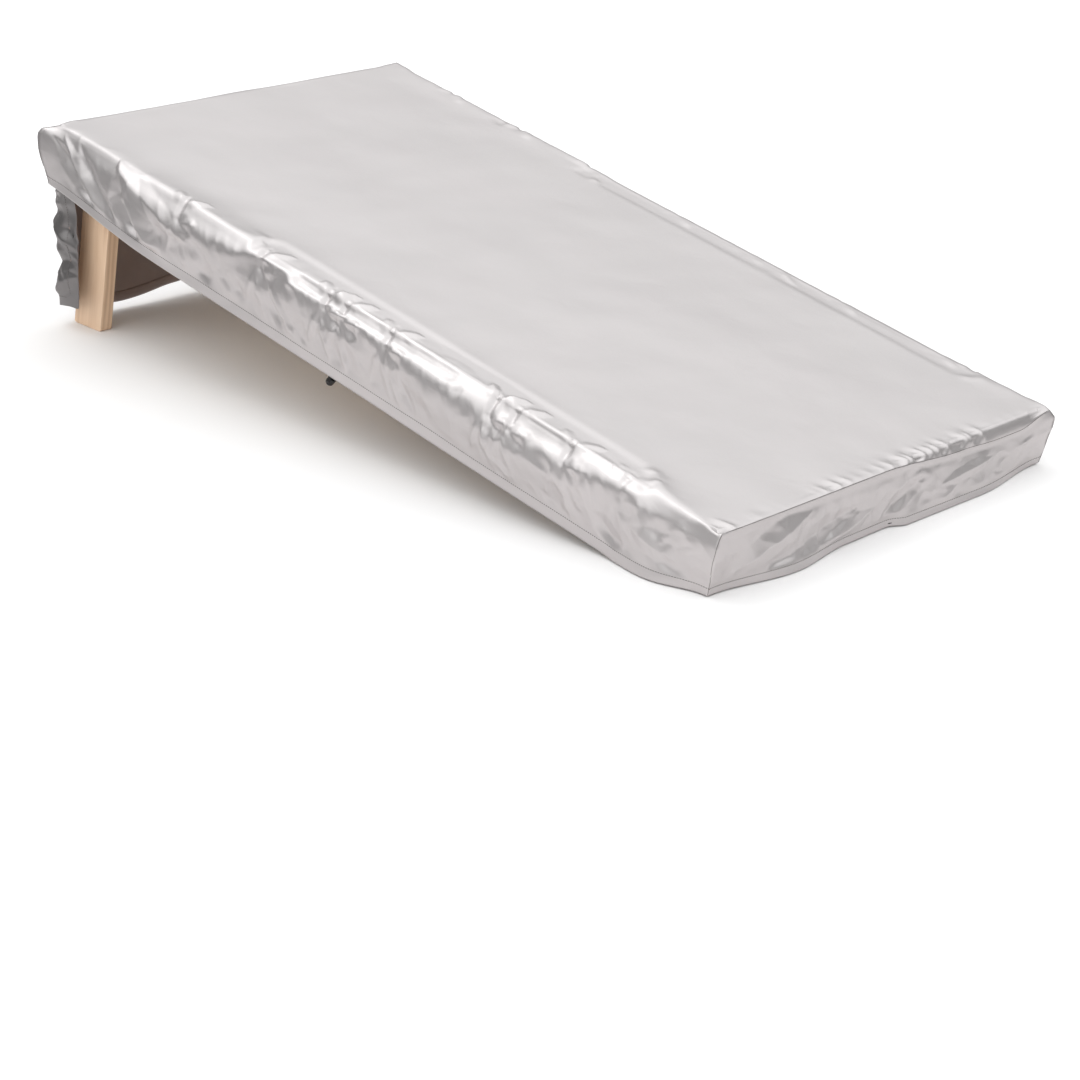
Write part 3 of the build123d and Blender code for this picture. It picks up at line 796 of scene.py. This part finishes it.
def crease_noise(points, scale, seed):
    """Ridged noise between -1 and 1, with sharp crests like creased coated cloth."""
    values = noise_at(points, scale, (seed * 7.1, seed * 3.7, seed * 1.3))
    return np.clip(1 - 3.2 * np.abs(values), -1, 1)


def soft_noise(points, scale, seed):
    """Soft rounded noise."""
    return noise_at(points, scale, (seed * 5.3, seed * 2.9, seed * 8.7))


def creased(cover):
    """Adds the creases and pinches of creased coated fabric to the draped cover."""
    mesh = cover.data
    points = points_of(mesh)
    normals = values_of(mesh.vertices, "normal", len(points))
    board = to_board(points)
    x, y, drop = cut_places(mesh)
    to_left = half_width + x
    to_right = half_width - x
    to_front = half_length + y
    on_top = drop < HAIR
    behind = (half_length - y < HAIR) & ~on_top
    over_left = np.where(on_top, -to_left, np.where(to_left < HAIR, drop, -1.0))
    over_right = np.where(on_top, -to_right, np.where(to_right < HAIR, drop, -1.0))
    on_flap = np.where(behind, drop, -1.0)
    on_front = np.where((to_front < HAIR) & ~on_top, drop, -1.0)
    zones = {
        "left": (y, over_left),
        "right": (y, over_right),
        "front": (x, on_front),
        "flap": (x, on_flap),
        "flap_left": (-to_left, on_flap),
        "flap_right": (-to_right, on_flap),
    }
    push = np.zeros(len(points))
    for place, strength in NEAR_PINCHES:
        push += creases(y - place, over_left, PINCH_CREASES, strength)
    for place, strength in FAR_PINCHES:
        push += creases(y - place, over_right, PINCH_CREASES, FAR_PINCH_SHARE * strength)
    push += creases(y, over_left, NEAR_CREASES)
    push += creases(FAR_CREASE_SHIFT - y, over_right, NEAR_CREASES, FAR_CREASE_SHARE)
    push += creases(to_left, on_flap, FLAP_CREASES)
    push += creases(to_right + FLAP_CREASE_SHIFT, on_flap, FLAP_CREASES)
    push += creases(x, on_front, FRONT_CREASES)
    for zone, seed, count, stretch, depths, size in CRUMPLED:
        push += crumple(*zones[zone], seed, count, stretch, depths, size)
    skirt = ease(drop / (30 * MM))
    leaning = np.stack([x, y + 0.7 * drop, 0.4 * drop], axis=1)
    for height, size, seed in SKIRT_RELIEF:
        push += height * skirt * crease_noise(leaning, size, seed)
    edge_zone = bell(np.minimum(to_left, to_right) / (22 * MM)) * (drop < 40 * MM)
    for height, size, seed in EDGE_RELIEF:
        push += height * edge_zone * crease_noise(board, size, seed)
    for height, size, seed in TOP_RELIEF:
        push += height * on_top * soft_noise(board, size, seed)
    tucks = crease_noise(np.stack([x + TUCK_LEAN * to_front, 0 * x, 0 * x], axis=1), TUCK_SPACING, 9)
    to_seam = np.where(on_top, to_front, 99)
    fade = ease(to_seam / TUCK_START) * bell(to_seam / TUCK_LENGTH)
    push += TUCK_HEIGHT * through(x, GATHERED) * tucks * fade
    above_hem = np.where(behind, flap_depth, side_depth) - drop
    push *= ease((above_hem - HEM_WIDTH) / (14 * MM))
    set_points(mesh, rested(points + normals * push[:, None]))


def thickened(made, thickness, offset):
    """Gives a sheet its thickness. At offset -1 it grows inwards, at 0 both ways."""
    shell = made.modifiers.new("fabric", "SOLIDIFY")
    shell.thickness = thickness
    shell.offset = offset
    return shell


def build_cover():
    """The cover as one sheet, silver outside and backing inside, and its draped points before halving."""
    cover = mesh_object("weather_cover", to_row(sheet_places()), sheet.faces())
    mark_cut(cover)
    drape(cover)
    draped = points_of(cover.data)
    crease_seams(cover)
    refined(cover)
    detailed(cover)
    creased(cover)
    smooth_shaded(cover.data)
    thickened(cover, FABRIC_THICKNESS, -1).material_offset = 1
    cover.data.materials.append(silver)
    cover.data.materials.append(backing)
    return cover, draped


# Materials
def wire(tree, node, inputs):
    """Links sockets to a node's inputs, and sets its other given inputs to plain values."""
    for key, value in inputs.items():
        if isinstance(value, bpy.types.NodeSocket):
            tree.links.new(value, node.inputs[key])
        else:
            node.inputs[key].default_value = value


def adder(tree):
    """A function that adds a node to the tree, from its kind, inputs and settings."""

    def add(kind, inputs=None, **settings):
        node = tree.nodes.new("ShaderNode" + kind)
        for key, value in settings.items():
            setattr(node, key, value)
        wire(tree, node, inputs or {})
        return node

    return add


def new_material(name):
    """A material: its node adder, its object coordinates, and a function that sets its shader's inputs."""
    made = bpy.data.materials.new(name)
    made.use_nodes = True
    tree = made.node_tree
    add = adder(tree)

    def finished(**inputs):
        names = {key.replace("_", " "): value for key, value in inputs.items()}
        wire(tree, tree.nodes["Principled BSDF"], names)
        return made

    return add, add("TexCoord").outputs["Object"], finished


def texture(add, kind, place, scale, **settings):
    """Value of a noise or wave texture. Capitalised settings are its inputs."""
    inputs = {key: settings.pop(key) for key in list(settings) if key[0].isupper()}
    return add("Tex" + kind, {"Vector": place, "Scale": scale, **inputs}, **settings).outputs["Fac"]


def ramp(add, value, *stops):
    """A colour ramp over two or more (place, colour) stops."""
    node = add("ValToRGB", {0: value})
    elements = node.color_ramp.elements
    while len(elements) < len(stops):
        elements.new(0.5)
    for element, (place, colour) in zip(elements, stops):
        element.position = place
        element.color = (*colour, 1.0)
    return node.outputs[0]


def mapped(add, value, low, high, start=0.0, end=1.0):
    """A value between low and high, turned into one between start and end."""
    return add("MapRange", {0: value, 1: low, 2: high, 3: start, 4: end}).outputs[0]


def maths(add, operation, *values):
    """Result of a calculation with plain values."""
    return add("Math", dict(enumerate(values)), operation=operation).outputs[0]


def scaled(add, vector, factor):
    """A vector or colour times a factor."""
    return add("VectorMath", {0: vector, "Scale": factor}, operation="SCALE").outputs[0]


def mixed(add, share, first, second):
    """A colour between the first and the second."""
    return add("Mix", {0: share, 6: first, 7: second}, data_type="RGBA").outputs[2]


def bump(add, height, strength, distance, **over):
    """A surface relief, over another one if a Normal is given."""
    return add("Bump", {"Height": height, "Strength": strength, "Distance": distance, **over}).outputs[0]


def fabric_material(name, base, dark, metallic, roughness, weave_depth, flap_shade=1.0):
    """Coated woven fabric: a fine plain weave, soft wrinkles and blotches in tone and in shine. The back
    flap's wrapped sides have painted shade: their colour is darkened for the shade they hang in below the
    skirt."""
    add, place, finished = new_material(name)
    blotch = texture(add, "Noise", place, 7.0, Detail=4.0)
    cut = add("Attribute", attribute_name="cut").outputs["Vector"]
    across, _, drop = add("SeparateXYZ", {0: cut}).outputs
    # Painted shade: on the back flap's wrapped sides, below the skirts' depth, the base colour is darkened
    # for the shade the fabric hangs in
    inner = half_width - FLAP_WRAP
    wrapped = mapped(add, maths(add, "ABSOLUTE", across), inner - 30 * MM, inner + 20 * MM)
    below = mapped(add, drop, side_depth, side_depth + 40 * MM)
    tone = mapped(add, maths(add, "MULTIPLY", wrapped, below), 0.0, 1.0, 1.0, flap_shade)
    warp = texture(add, "Wave", place, 420.0, bands_direction="X")
    weft = texture(add, "Wave", place, 420.0, bands_direction="Y")
    wrinkle = texture(add, "Noise", place, 26.0, Detail=6.0, Roughness=0.62, Distortion=0.6)
    soft = bump(add, wrinkle, 0.11, 3 * MM)
    return finished(
        Base_Color=scaled(add, ramp(add, blotch, (0.3, dark), (0.7, base)), tone),
        Roughness=mapped(add, blotch, 0.3, 0.7, roughness + 0.04, roughness - 0.03),
        Metallic=metallic,
        Specular_IOR_Level=0.5,
        Normal=bump(add, maths(add, "MULTIPLY", warp, weft), 0.25, weave_depth, Normal=soft),
    )


def wood_material(name, light, mid, dark, grain, bands):
    """Planed timber: straight grain along one direction, with wave bands across it, fine pores and a thin
    oil finish."""
    add, place, finished = new_material(name)
    along = add("VectorMath", {0: place, 1: grain}, operation="DOT_PRODUCT").outputs["Value"]
    shift = scaled(add, grain, maths(add, "MULTIPLY", along, -0.94))
    stretched = add("VectorMath", {0: place, 1: shift}, operation="ADD").outputs[0]
    broad = texture(add, "Noise", stretched, 45.0, Detail=5.0, Distortion=0.5)
    fine = texture(add, "Noise", stretched, 420.0, Detail=3.0)
    waved = {"Distortion": 5.0, "Detail": 3.0, "Detail Scale": 2.0}
    rings = texture(add, "Wave", stretched, 38.0, bands_direction=bands, **waved)
    tone = add("Mix", {0: 0.45, 2: broad, 3: rings}, data_type="FLOAT").outputs[0]
    tone = add("Mix", {0: 0.3, 2: tone, 3: fine}, data_type="FLOAT").outputs[0]
    return finished(
        Base_Color=ramp(add, tone, (0.25, dark), (0.5, mid), (0.75, light)),
        Roughness=mapped(add, fine, 0.3, 0.7, 0.42, 0.6),
        Normal=bump(add, fine, 0.25, 0.6 * MM),
    )


def steel_material(name, tint, roughness):
    """Zinc-plated steel: faint patches and fine scratches."""
    add, place, finished = new_material(name)
    patch = texture(add, "Noise", place, 160.0, Detail=5.0)
    scratch = texture(add, "Noise", place, 900.0, Detail=2.0)
    shade = tuple(0.8 * channel for channel in tint)
    return finished(
        Base_Color=ramp(add, patch, (0.3, shade), (0.7, tint)),
        Roughness=mapped(add, patch, 0.3, 0.7, roughness, roughness + 0.15),
        Metallic=1.0,
        Normal=bump(add, scratch, 0.15, 0.2 * MM),
    )


def plastic_material(name):
    """Gloss black moulding with a faint orange-peel skin."""
    add, place, finished = new_material(name)
    skin = texture(add, "Noise", place, 700.0, Detail=2.0)
    return finished(
        Base_Color=ramp(add, skin, (0.3, (0.008, 0.008, 0.009)), (0.7, (0.02, 0.02, 0.021))),
        Roughness=mapped(add, skin, 0.3, 0.7, 0.18, 0.28),
        Normal=bump(add, skin, 0.12, 0.2 * MM),
    )


def cord_material(name, dark, light):
    """Braided polyester cord or sewing thread."""
    add, place, finished = new_material(name)
    braid = texture(add, "Wave", place, 500.0, Distortion=2.0, bands_direction="DIAGONAL")
    return finished(
        Base_Color=ramp(add, braid, (0.2, dark), (0.8, light)),
        Roughness=mapped(add, braid, 0.0, 1.0, 0.75, 0.6),
        Normal=bump(add, braid, 0.6, 0.4 * MM),
    )


def floor_material():
    """Pale floor to the camera. In mirror reflections it darkens with distance, as in a studio with dark
    walls, and to soft light it has one even tone."""
    add, place, finished = new_material("studio_floor")
    soft = texture(add, "Noise", place, 3.0)
    pale = ramp(add, soft, (0.3, FLOOR_SEEN[0]), (0.7, FLOOR_SEEN[1]))
    distance = add("VectorMath", {0: place}, operation="LENGTH").outputs["Value"]
    far = mapped(add, distance, FLOOR_NEAR, FLOOR_FAR)
    mirrored = ramp(add, far, (0.0, FLOOR_NEAR_TONE), (1.0, FLOOR_FAR_TONE))
    ray = add("LightPath").outputs
    thrown = mixed(add, ray["Is Glossy Ray"], FLOOR_LIT, mirrored)
    return finished(
        Base_Color=mixed(add, ray["Is Camera Ray"], thrown, pale),
        Roughness=0.95,
        Specular_IOR_Level=0.0,
    )


LIGHT_TIMBER = ((0.84, 0.62, 0.44), (0.75, 0.53, 0.36), (0.62, 0.41, 0.265))
BIRCH = ((0.84, 0.70, 0.52), (0.78, 0.63, 0.45), (0.68, 0.52, 0.36))
# The last number darkens the back flap's wrapped sides as painted shade
silver = fabric_material(
    "silver_coating", (0.72, 0.692, 0.692), (0.69, 0.667, 0.666), 0.80, 0.41, 0.05 * MM, 0.36
)
backing = fabric_material("warm_backing", (0.35, 0.275, 0.25), (0.28, 0.215, 0.195), 0.1, 0.55, 0.1 * MM)
thread = cord_material("dark_thread", (0.10, 0.09, 0.09), (0.22, 0.20, 0.19))
black_cord = cord_material("black_cord", (0.006, 0.006, 0.006), (0.03, 0.03, 0.03))
timber_along = wood_material("timber_along", *LIGHT_TIMBER, tuple(board_along), "X")
timber_across = wood_material("timber_across", *LIGHT_TIMBER, tuple(board_across), "Z")
timber_up = wood_material("timber_up", *LIGHT_TIMBER, tuple(board_up), "X")
plywood = wood_material("birch_plywood", *BIRCH, tuple(board_along), "X")
zinc = steel_material("zinc_steel", (0.62, 0.62, 0.60), 0.28)
spring_steel = steel_material("spring_steel", (0.5, 0.5, 0.52), 0.2)
black_plastic = plastic_material("black_plastic")

FINISHES = (
    (plywood, ("deck_panel",)),
    (timber_along, ("left_side_rail", "right_side_rail")),
    (timber_across, ("front_rail", "back_rail", "centre_brace")),
    (timber_up, ("left_leg", "right_leg")),
    (zinc, ("deck_screws", "frame_screws", "pivot_bolts", "pivot_lock_nuts")),
    (zinc, ("pivot_spacer_washers", "pivot_outer_washers")),
    (black_cord, ("drawcord",)),
    (black_plastic, ("cord_lock_barrel", "cord_lock_button")),
    (spring_steel, ("cord_lock_spring",)),
)


def finish_nodes():
    """Gives the CAD nodes their materials."""
    for material, nodes in FINISHES:
        for node in nodes:
            materials = frame["nodes"][node].data.materials
            materials.clear()
            materials.append(material)


# Paths over the draped sheet, and what is sewn or threaded along them
def straight_steps(path, pitch):
    """Points pitch apart along a path of points."""
    path = np.asarray(path)
    lengths = np.linalg.norm(np.diff(path, axis=0), axis=1)
    run = np.concatenate([[0.0], np.cumsum(lengths)])
    wanted = np.arange(0, run[-1], pitch)
    return np.stack([np.interp(wanted, run, path[:, axis]) for axis in range(3)], axis=1)


def between(first, second, share):
    """Point a share of the way from the first to the second."""
    return first * (1 - share) + second * share


class Cloth:
    """The draped cover, for paths along its rows and columns, which may lie between two of them."""

    def __init__(self, cover, draped):
        mesh = cover.data
        faces = [tuple(face.vertices) for face in mesh.polygons]
        self.draped = draped
        self.tree = BVHTree.FromPolygons([vertex.co for vertex in mesh.vertices], faces)

    def nearest(self, point):
        """Nearest place on the creased cover, and the normal there."""
        return self.tree.find_nearest(Vector(point))[:2]

    def line(self, point, line, steps):
        """Draped points at each step, on a line given by point(step, line)."""
        low = math.floor(line)
        high = math.ceil(line)
        return [
            between(self.draped[point(step, low)], self.draped[point(step, high)], line - low)
            for step in steps
        ]

    def ring(self, row, start, end):
        """Path along the skirt at a row, between two points of the ring."""
        return self.line(sheet.skirt, row, range(start, end + 1))

    def flap_row(self, row, inset):
        """Path along the back flap at a row, from the right, inset columns at both ends."""
        first = math.ceil(inset)
        return self.line(sheet.flap, row, range(first, sheet.columns - first + 1))

    def flap_column(self, column, end_row):
        """Path down the back flap at a column counted from the right."""
        rows = range(sheet.skirt_rows, int(end_row) + 1)
        return self.line(lambda k, q: sheet.flap(q, k), column, rows)

    def in_hem(self, path):
        """A hem path moved into the channel, clear of the cover's own thickness."""
        moved = []
        for point in path:
            place, normal = self.nearest(point)
            moved.append(place - normal * (FABRIC_THICKNESS + CORD_RADIUS + CORD_CLEARANCE))
        return moved


def stitches(name, cloth, paths, material):
    """Rows of small thread stitches that lie on the cover."""
    points = []
    faces = []
    for path in paths:
        steps = straight_steps(path, STITCH_PITCH)
        for here, there in zip(steps, steps[1:]):
            place, normal = cloth.nearest(here)
            ahead = Vector(there) - Vector(here)
            ahead = (ahead - ahead.dot(normal) * normal).normalized()
            aside = normal.cross(ahead)
            first = len(points)
            for shift, lift in STITCH_PROFILE:
                for side in (-1, 1):
                    half = STITCH_HALF_WIDTH * side * (1.2 - 0.4 * lift)
                    point = place + ahead * STITCH_LENGTH * shift + aside * half
                    points.append(point + normal * STITCH_HEIGHT * lift)
            for section in range(3):
                a = first + 2 * section
                faces.append((a, a + 1, a + 3, a + 2))
            faces.append((first, first + 2, first + 4, first + 6))
            faces.append((first + 7, first + 5, first + 3, first + 1))
            faces.append((first, first + 6, first + 7, first + 1))
    return mesh_object(name, points, faces, material)


def hem_fold(name, cloth, outer_paths, inner_paths, material):
    """The hem's folded-in strip: it leaves the edge, swells round the drawcord and is sewn down again."""
    points = []
    faces = []
    across = HEM_SECTIONS + 1
    for outer, inner in zip(outer_paths, inner_paths):
        first = len(points)
        for edge, seam in zip(outer, inner):
            for section in range(across):
                share = section / HEM_SECTIONS
                place, normal = cloth.nearest(between(edge, seam, share))
                swell = HEM_CHANNEL * math.sin(math.pi * share)
                points.append(place - normal * (FABRIC_THICKNESS + HEM_GAP + swell))
        for step in range(len(outer) - 1):
            for section in range(HEM_SECTIONS):
                a = first + step * across + section
                faces.append((a, a + 1, a + across + 1, a + across))
    strip = mesh_object(name, points, faces, material)
    thickened(strip, HEM_CLOTH, 0)
    smooth_shaded(strip.data)
    return strip


def smoothed(path, rounds=2):
    """A path with its corners rounded off by averaging neighbours."""
    points = np.array([tuple(point) for point in path])
    for _ in range(rounds):
        points[1:-1] = 0.25 * points[:-2] + 0.5 * points[1:-1] + 0.25 * points[2:]
    return points


def tube(name, path, radius, material):
    """A round cord along a path of points."""
    curve = bpy.data.curves.new(name, "CURVE")
    curve.dimensions = "3D"
    curve.bevel_depth = radius
    curve.bevel_resolution = 3
    curve.use_fill_caps = True
    spline = curve.splines.new("POLY")
    spline.points.add(len(path) - 1)
    for point, place in zip(spline.points, path):
        point.co = (*place, 1.0)
    shape = linked(name, curve)
    mesh = bpy.data.meshes.new_from_object(shape)
    bpy.data.objects.remove(shape)
    bpy.data.curves.remove(curve)
    mesh.materials.append(material)
    smooth_shaded(mesh)
    return linked(name, mesh)


def seam_line(name, cloth, path):
    """A sewn seam: a thin dark line that lies in the cover's surface along a path."""
    places = [cloth.nearest(step)[0] for step in straight_steps(path, SEAM_PITCH)]
    return tube(name, places, SEAM_RADIUS, thread)


def seam_lines(cloth):
    """The four corner seams and the front seam."""
    made = []
    for number, column in enumerate(sheet.corners):
        path = [cloth.draped[sheet.skirt(column, k)] for k in range(sheet.skirt_rows + 1)]
        made.append(seam_line("corner_seam_%d" % number, cloth, path))
    # The front seam's dark thread line is stitching and also painted shade: it stands in for the thin
    # shadow line of the fold along the front edge
    edge = [cloth.draped[sheet.top(i, 0)] for i in range(sheet.columns + 1)]
    return made + [seam_line("front_seam", cloth, edge)]


def sewn_hem(cloth):
    """The stitches along the hem, and the strip folded in under them."""
    inset = HEM_WIDTH / CELL
    flap_row = sheet.last_row - inset
    ends = (sheet.back_end, sheet.ring + sheet.back_start)
    sewn = [
        cloth.ring(sheet.skirt_rows - inset, *ends),
        cloth.flap_row(flap_row, inset),
        cloth.flap_column(inset, flap_row),
        cloth.flap_column(sheet.columns - inset, flap_row),
    ]
    edges = [
        cloth.ring(sheet.skirt_rows, *ends),
        cloth.flap_row(sheet.last_row, inset),
        cloth.flap_column(0, flap_row),
        cloth.flap_column(sheet.columns, flap_row),
    ]
    stitched = stitches("hem_stitching", cloth, sewn, thread)
    return stitched, hem_fold("hem_fold", cloth, edges, sewn, backing)


def drawcord_path(cloth):
    """Places along the drawcord: its first end from knot to hem, the hem all round, and its other end."""
    side_row = sheet.skirt_rows - CORD_ROW
    flap_row = sheet.last_row - CORD_ROW
    left = cloth.in_hem(cloth.ring(side_row, sheet.back_end, sheet.ring))
    front = cloth.in_hem(cloth.ring(side_row, 0, sheet.columns))
    right = cloth.in_hem(cloth.ring(side_row, sheet.columns, sheet.back_start))
    flap_right = cloth.in_hem(cloth.flap_column(CORD_ROW, flap_row))
    flap_bottom = cloth.in_hem(cloth.flap_row(flap_row, CORD_ROW))
    flap_left = cloth.in_hem(cloth.flap_column(sheet.columns - CORD_ROW, flap_row))
    ends = [
        [on_board(CORD_KNOT_X, *hole), on_board(CORD_OUT_X, *hole)]
        + [on_board(CORD_OUT_X, leave, CORD_EXIT_LIFT - side_depth)]
        for leave, hole in zip(CORD_EXITS, CORD_HOLES)
    ]
    to_front = [point for point in left if to_board(point)[1] < CORD_EXITS[0]]
    from_back = [point for point in left if to_board(point)[1] > CORD_EXITS[1]]
    in_hem = to_front + front[1:] + right[1:] + flap_right + flap_bottom[1:-1] + flap_left[::-1]
    return ends[0], in_hem + from_back, ends[1][::-1]


def drawcord(cloth):
    """The black cord in the hem, its two ends through the cord lock and the knot that joins them."""
    start, in_hem, end = drawcord_path(cloth)
    cord = tube("drawcord_soft", [*start, *smoothed(in_hem), *end], CORD_RADIUS, black_cord)
    knot = bmesh.new()
    knot.from_mesh(cord.data)
    place = Matrix.Translation((start[0] + end[-1]) / 2)
    bmesh.ops.create_uvsphere(knot, u_segments=20, v_segments=12, radius=KNOT_RADIUS, matrix=place)
    knot.to_mesh(cord.data)
    knot.free()
    smooth_shaded(cord.data)
    return cord


def cover_pieces():
    """The soft cover with its hem, seams and drawcord, in place of the CAD's panels and cord."""
    cover, draped = build_cover()
    cloth = Cloth(cover, draped)
    hem, fold = sewn_hem(cloth)
    cord = drawcord(cloth)
    for piece in (cover, hem, fold, cord, *seam_lines(cloth)):
        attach(piece, "weather_cover")
    sides = ("left_skirt", "right_skirt", "front_skirt", "back_flap")
    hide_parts("cover_top_panel", *("cover_" + side for side in sides))
    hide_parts("drawcord")


def spring_coil():
    """The cord lock's spring: a copy of the CAD spring with a mesh of its own, on the cord lock, in place
    of the CAD one.
    """
    made = linked("spring_coil", frame["nodes"]["cord_lock_spring"].data.copy())
    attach(made, "cord_lock")
    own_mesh(made)
    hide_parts("cord_lock_spring")


# The studio and the camera
def turned_to(made, place, turn):
    """Puts a lamp or camera in its place."""
    made.location = place
    made.rotation_mode = "QUATERNION"
    made.rotation_quaternion = turn


def lamp(name, place, size, power, tint):
    """A round soft lamp that points at the board."""
    data = bpy.data.lights.new(name, "AREA")
    data.shape = "DISK"
    data.size = size
    data.energy = power
    data.color = tint
    aim = Vector(LAMP_TARGET) - Vector(place)
    turned_to(linked(name, data), place, aim.to_track_quat("-Z", "Y"))


def room():
    """White all round, except in mirror reflections, where it is dark low down."""
    world = bpy.data.worlds.new("studio")
    bpy.context.scene.world = world
    world.use_nodes = True
    tree = world.node_tree
    add = adder(tree)
    ray = add("LightPath").outputs
    height = add("SeparateXYZ", {0: add("TexCoord").outputs["Generated"]}).outputs[2]
    colour = mixed(add, ray["Is Glossy Ray"], (1, 1, 1, 1), ramp(add, height, ROOM_DARK, ROOM_WHITE))
    strength = mapped(add, ray["Is Camera Ray"], 0.0, 1.0, ROOM_LIGHT, ROOM_SEEN)
    wire(tree, tree.nodes["Background"], {0: colour, 1: strength})


def studio():
    """The floor, the room and the lamps."""
    half = FLOOR_HALF
    corners = [(-half, -half, 0), (half, -half, 0), (half, half, 0), (-half, half, 0)]
    mesh_object("floor", corners, [(0, 1, 2, 3)], floor_material())
    room()
    for settings in LAMPS:
        lamp(*settings)
    bpy.context.scene.view_settings.view_transform = "Standard"


def camera():
    """The camera, placed as the photo's perspective shows."""
    data = bpy.data.cameras.new("camera")
    data.lens = CAMERA_LENS
    data.sensor_width = CAMERA_SENSOR
    data.clip_end = CAMERA_FAR
    made = linked("camera", data)
    roll = Matrix.Rotation(CAMERA_ROLL, 3, "Z").to_quaternion()
    turned_to(made, CAMERA_PLACE, CAMERA_AIM.to_track_quat("-Z", "Y") @ roll)
    bpy.context.scene.camera = made


cover_pieces()
finish_nodes()
spring_coil()
studio()
camera()
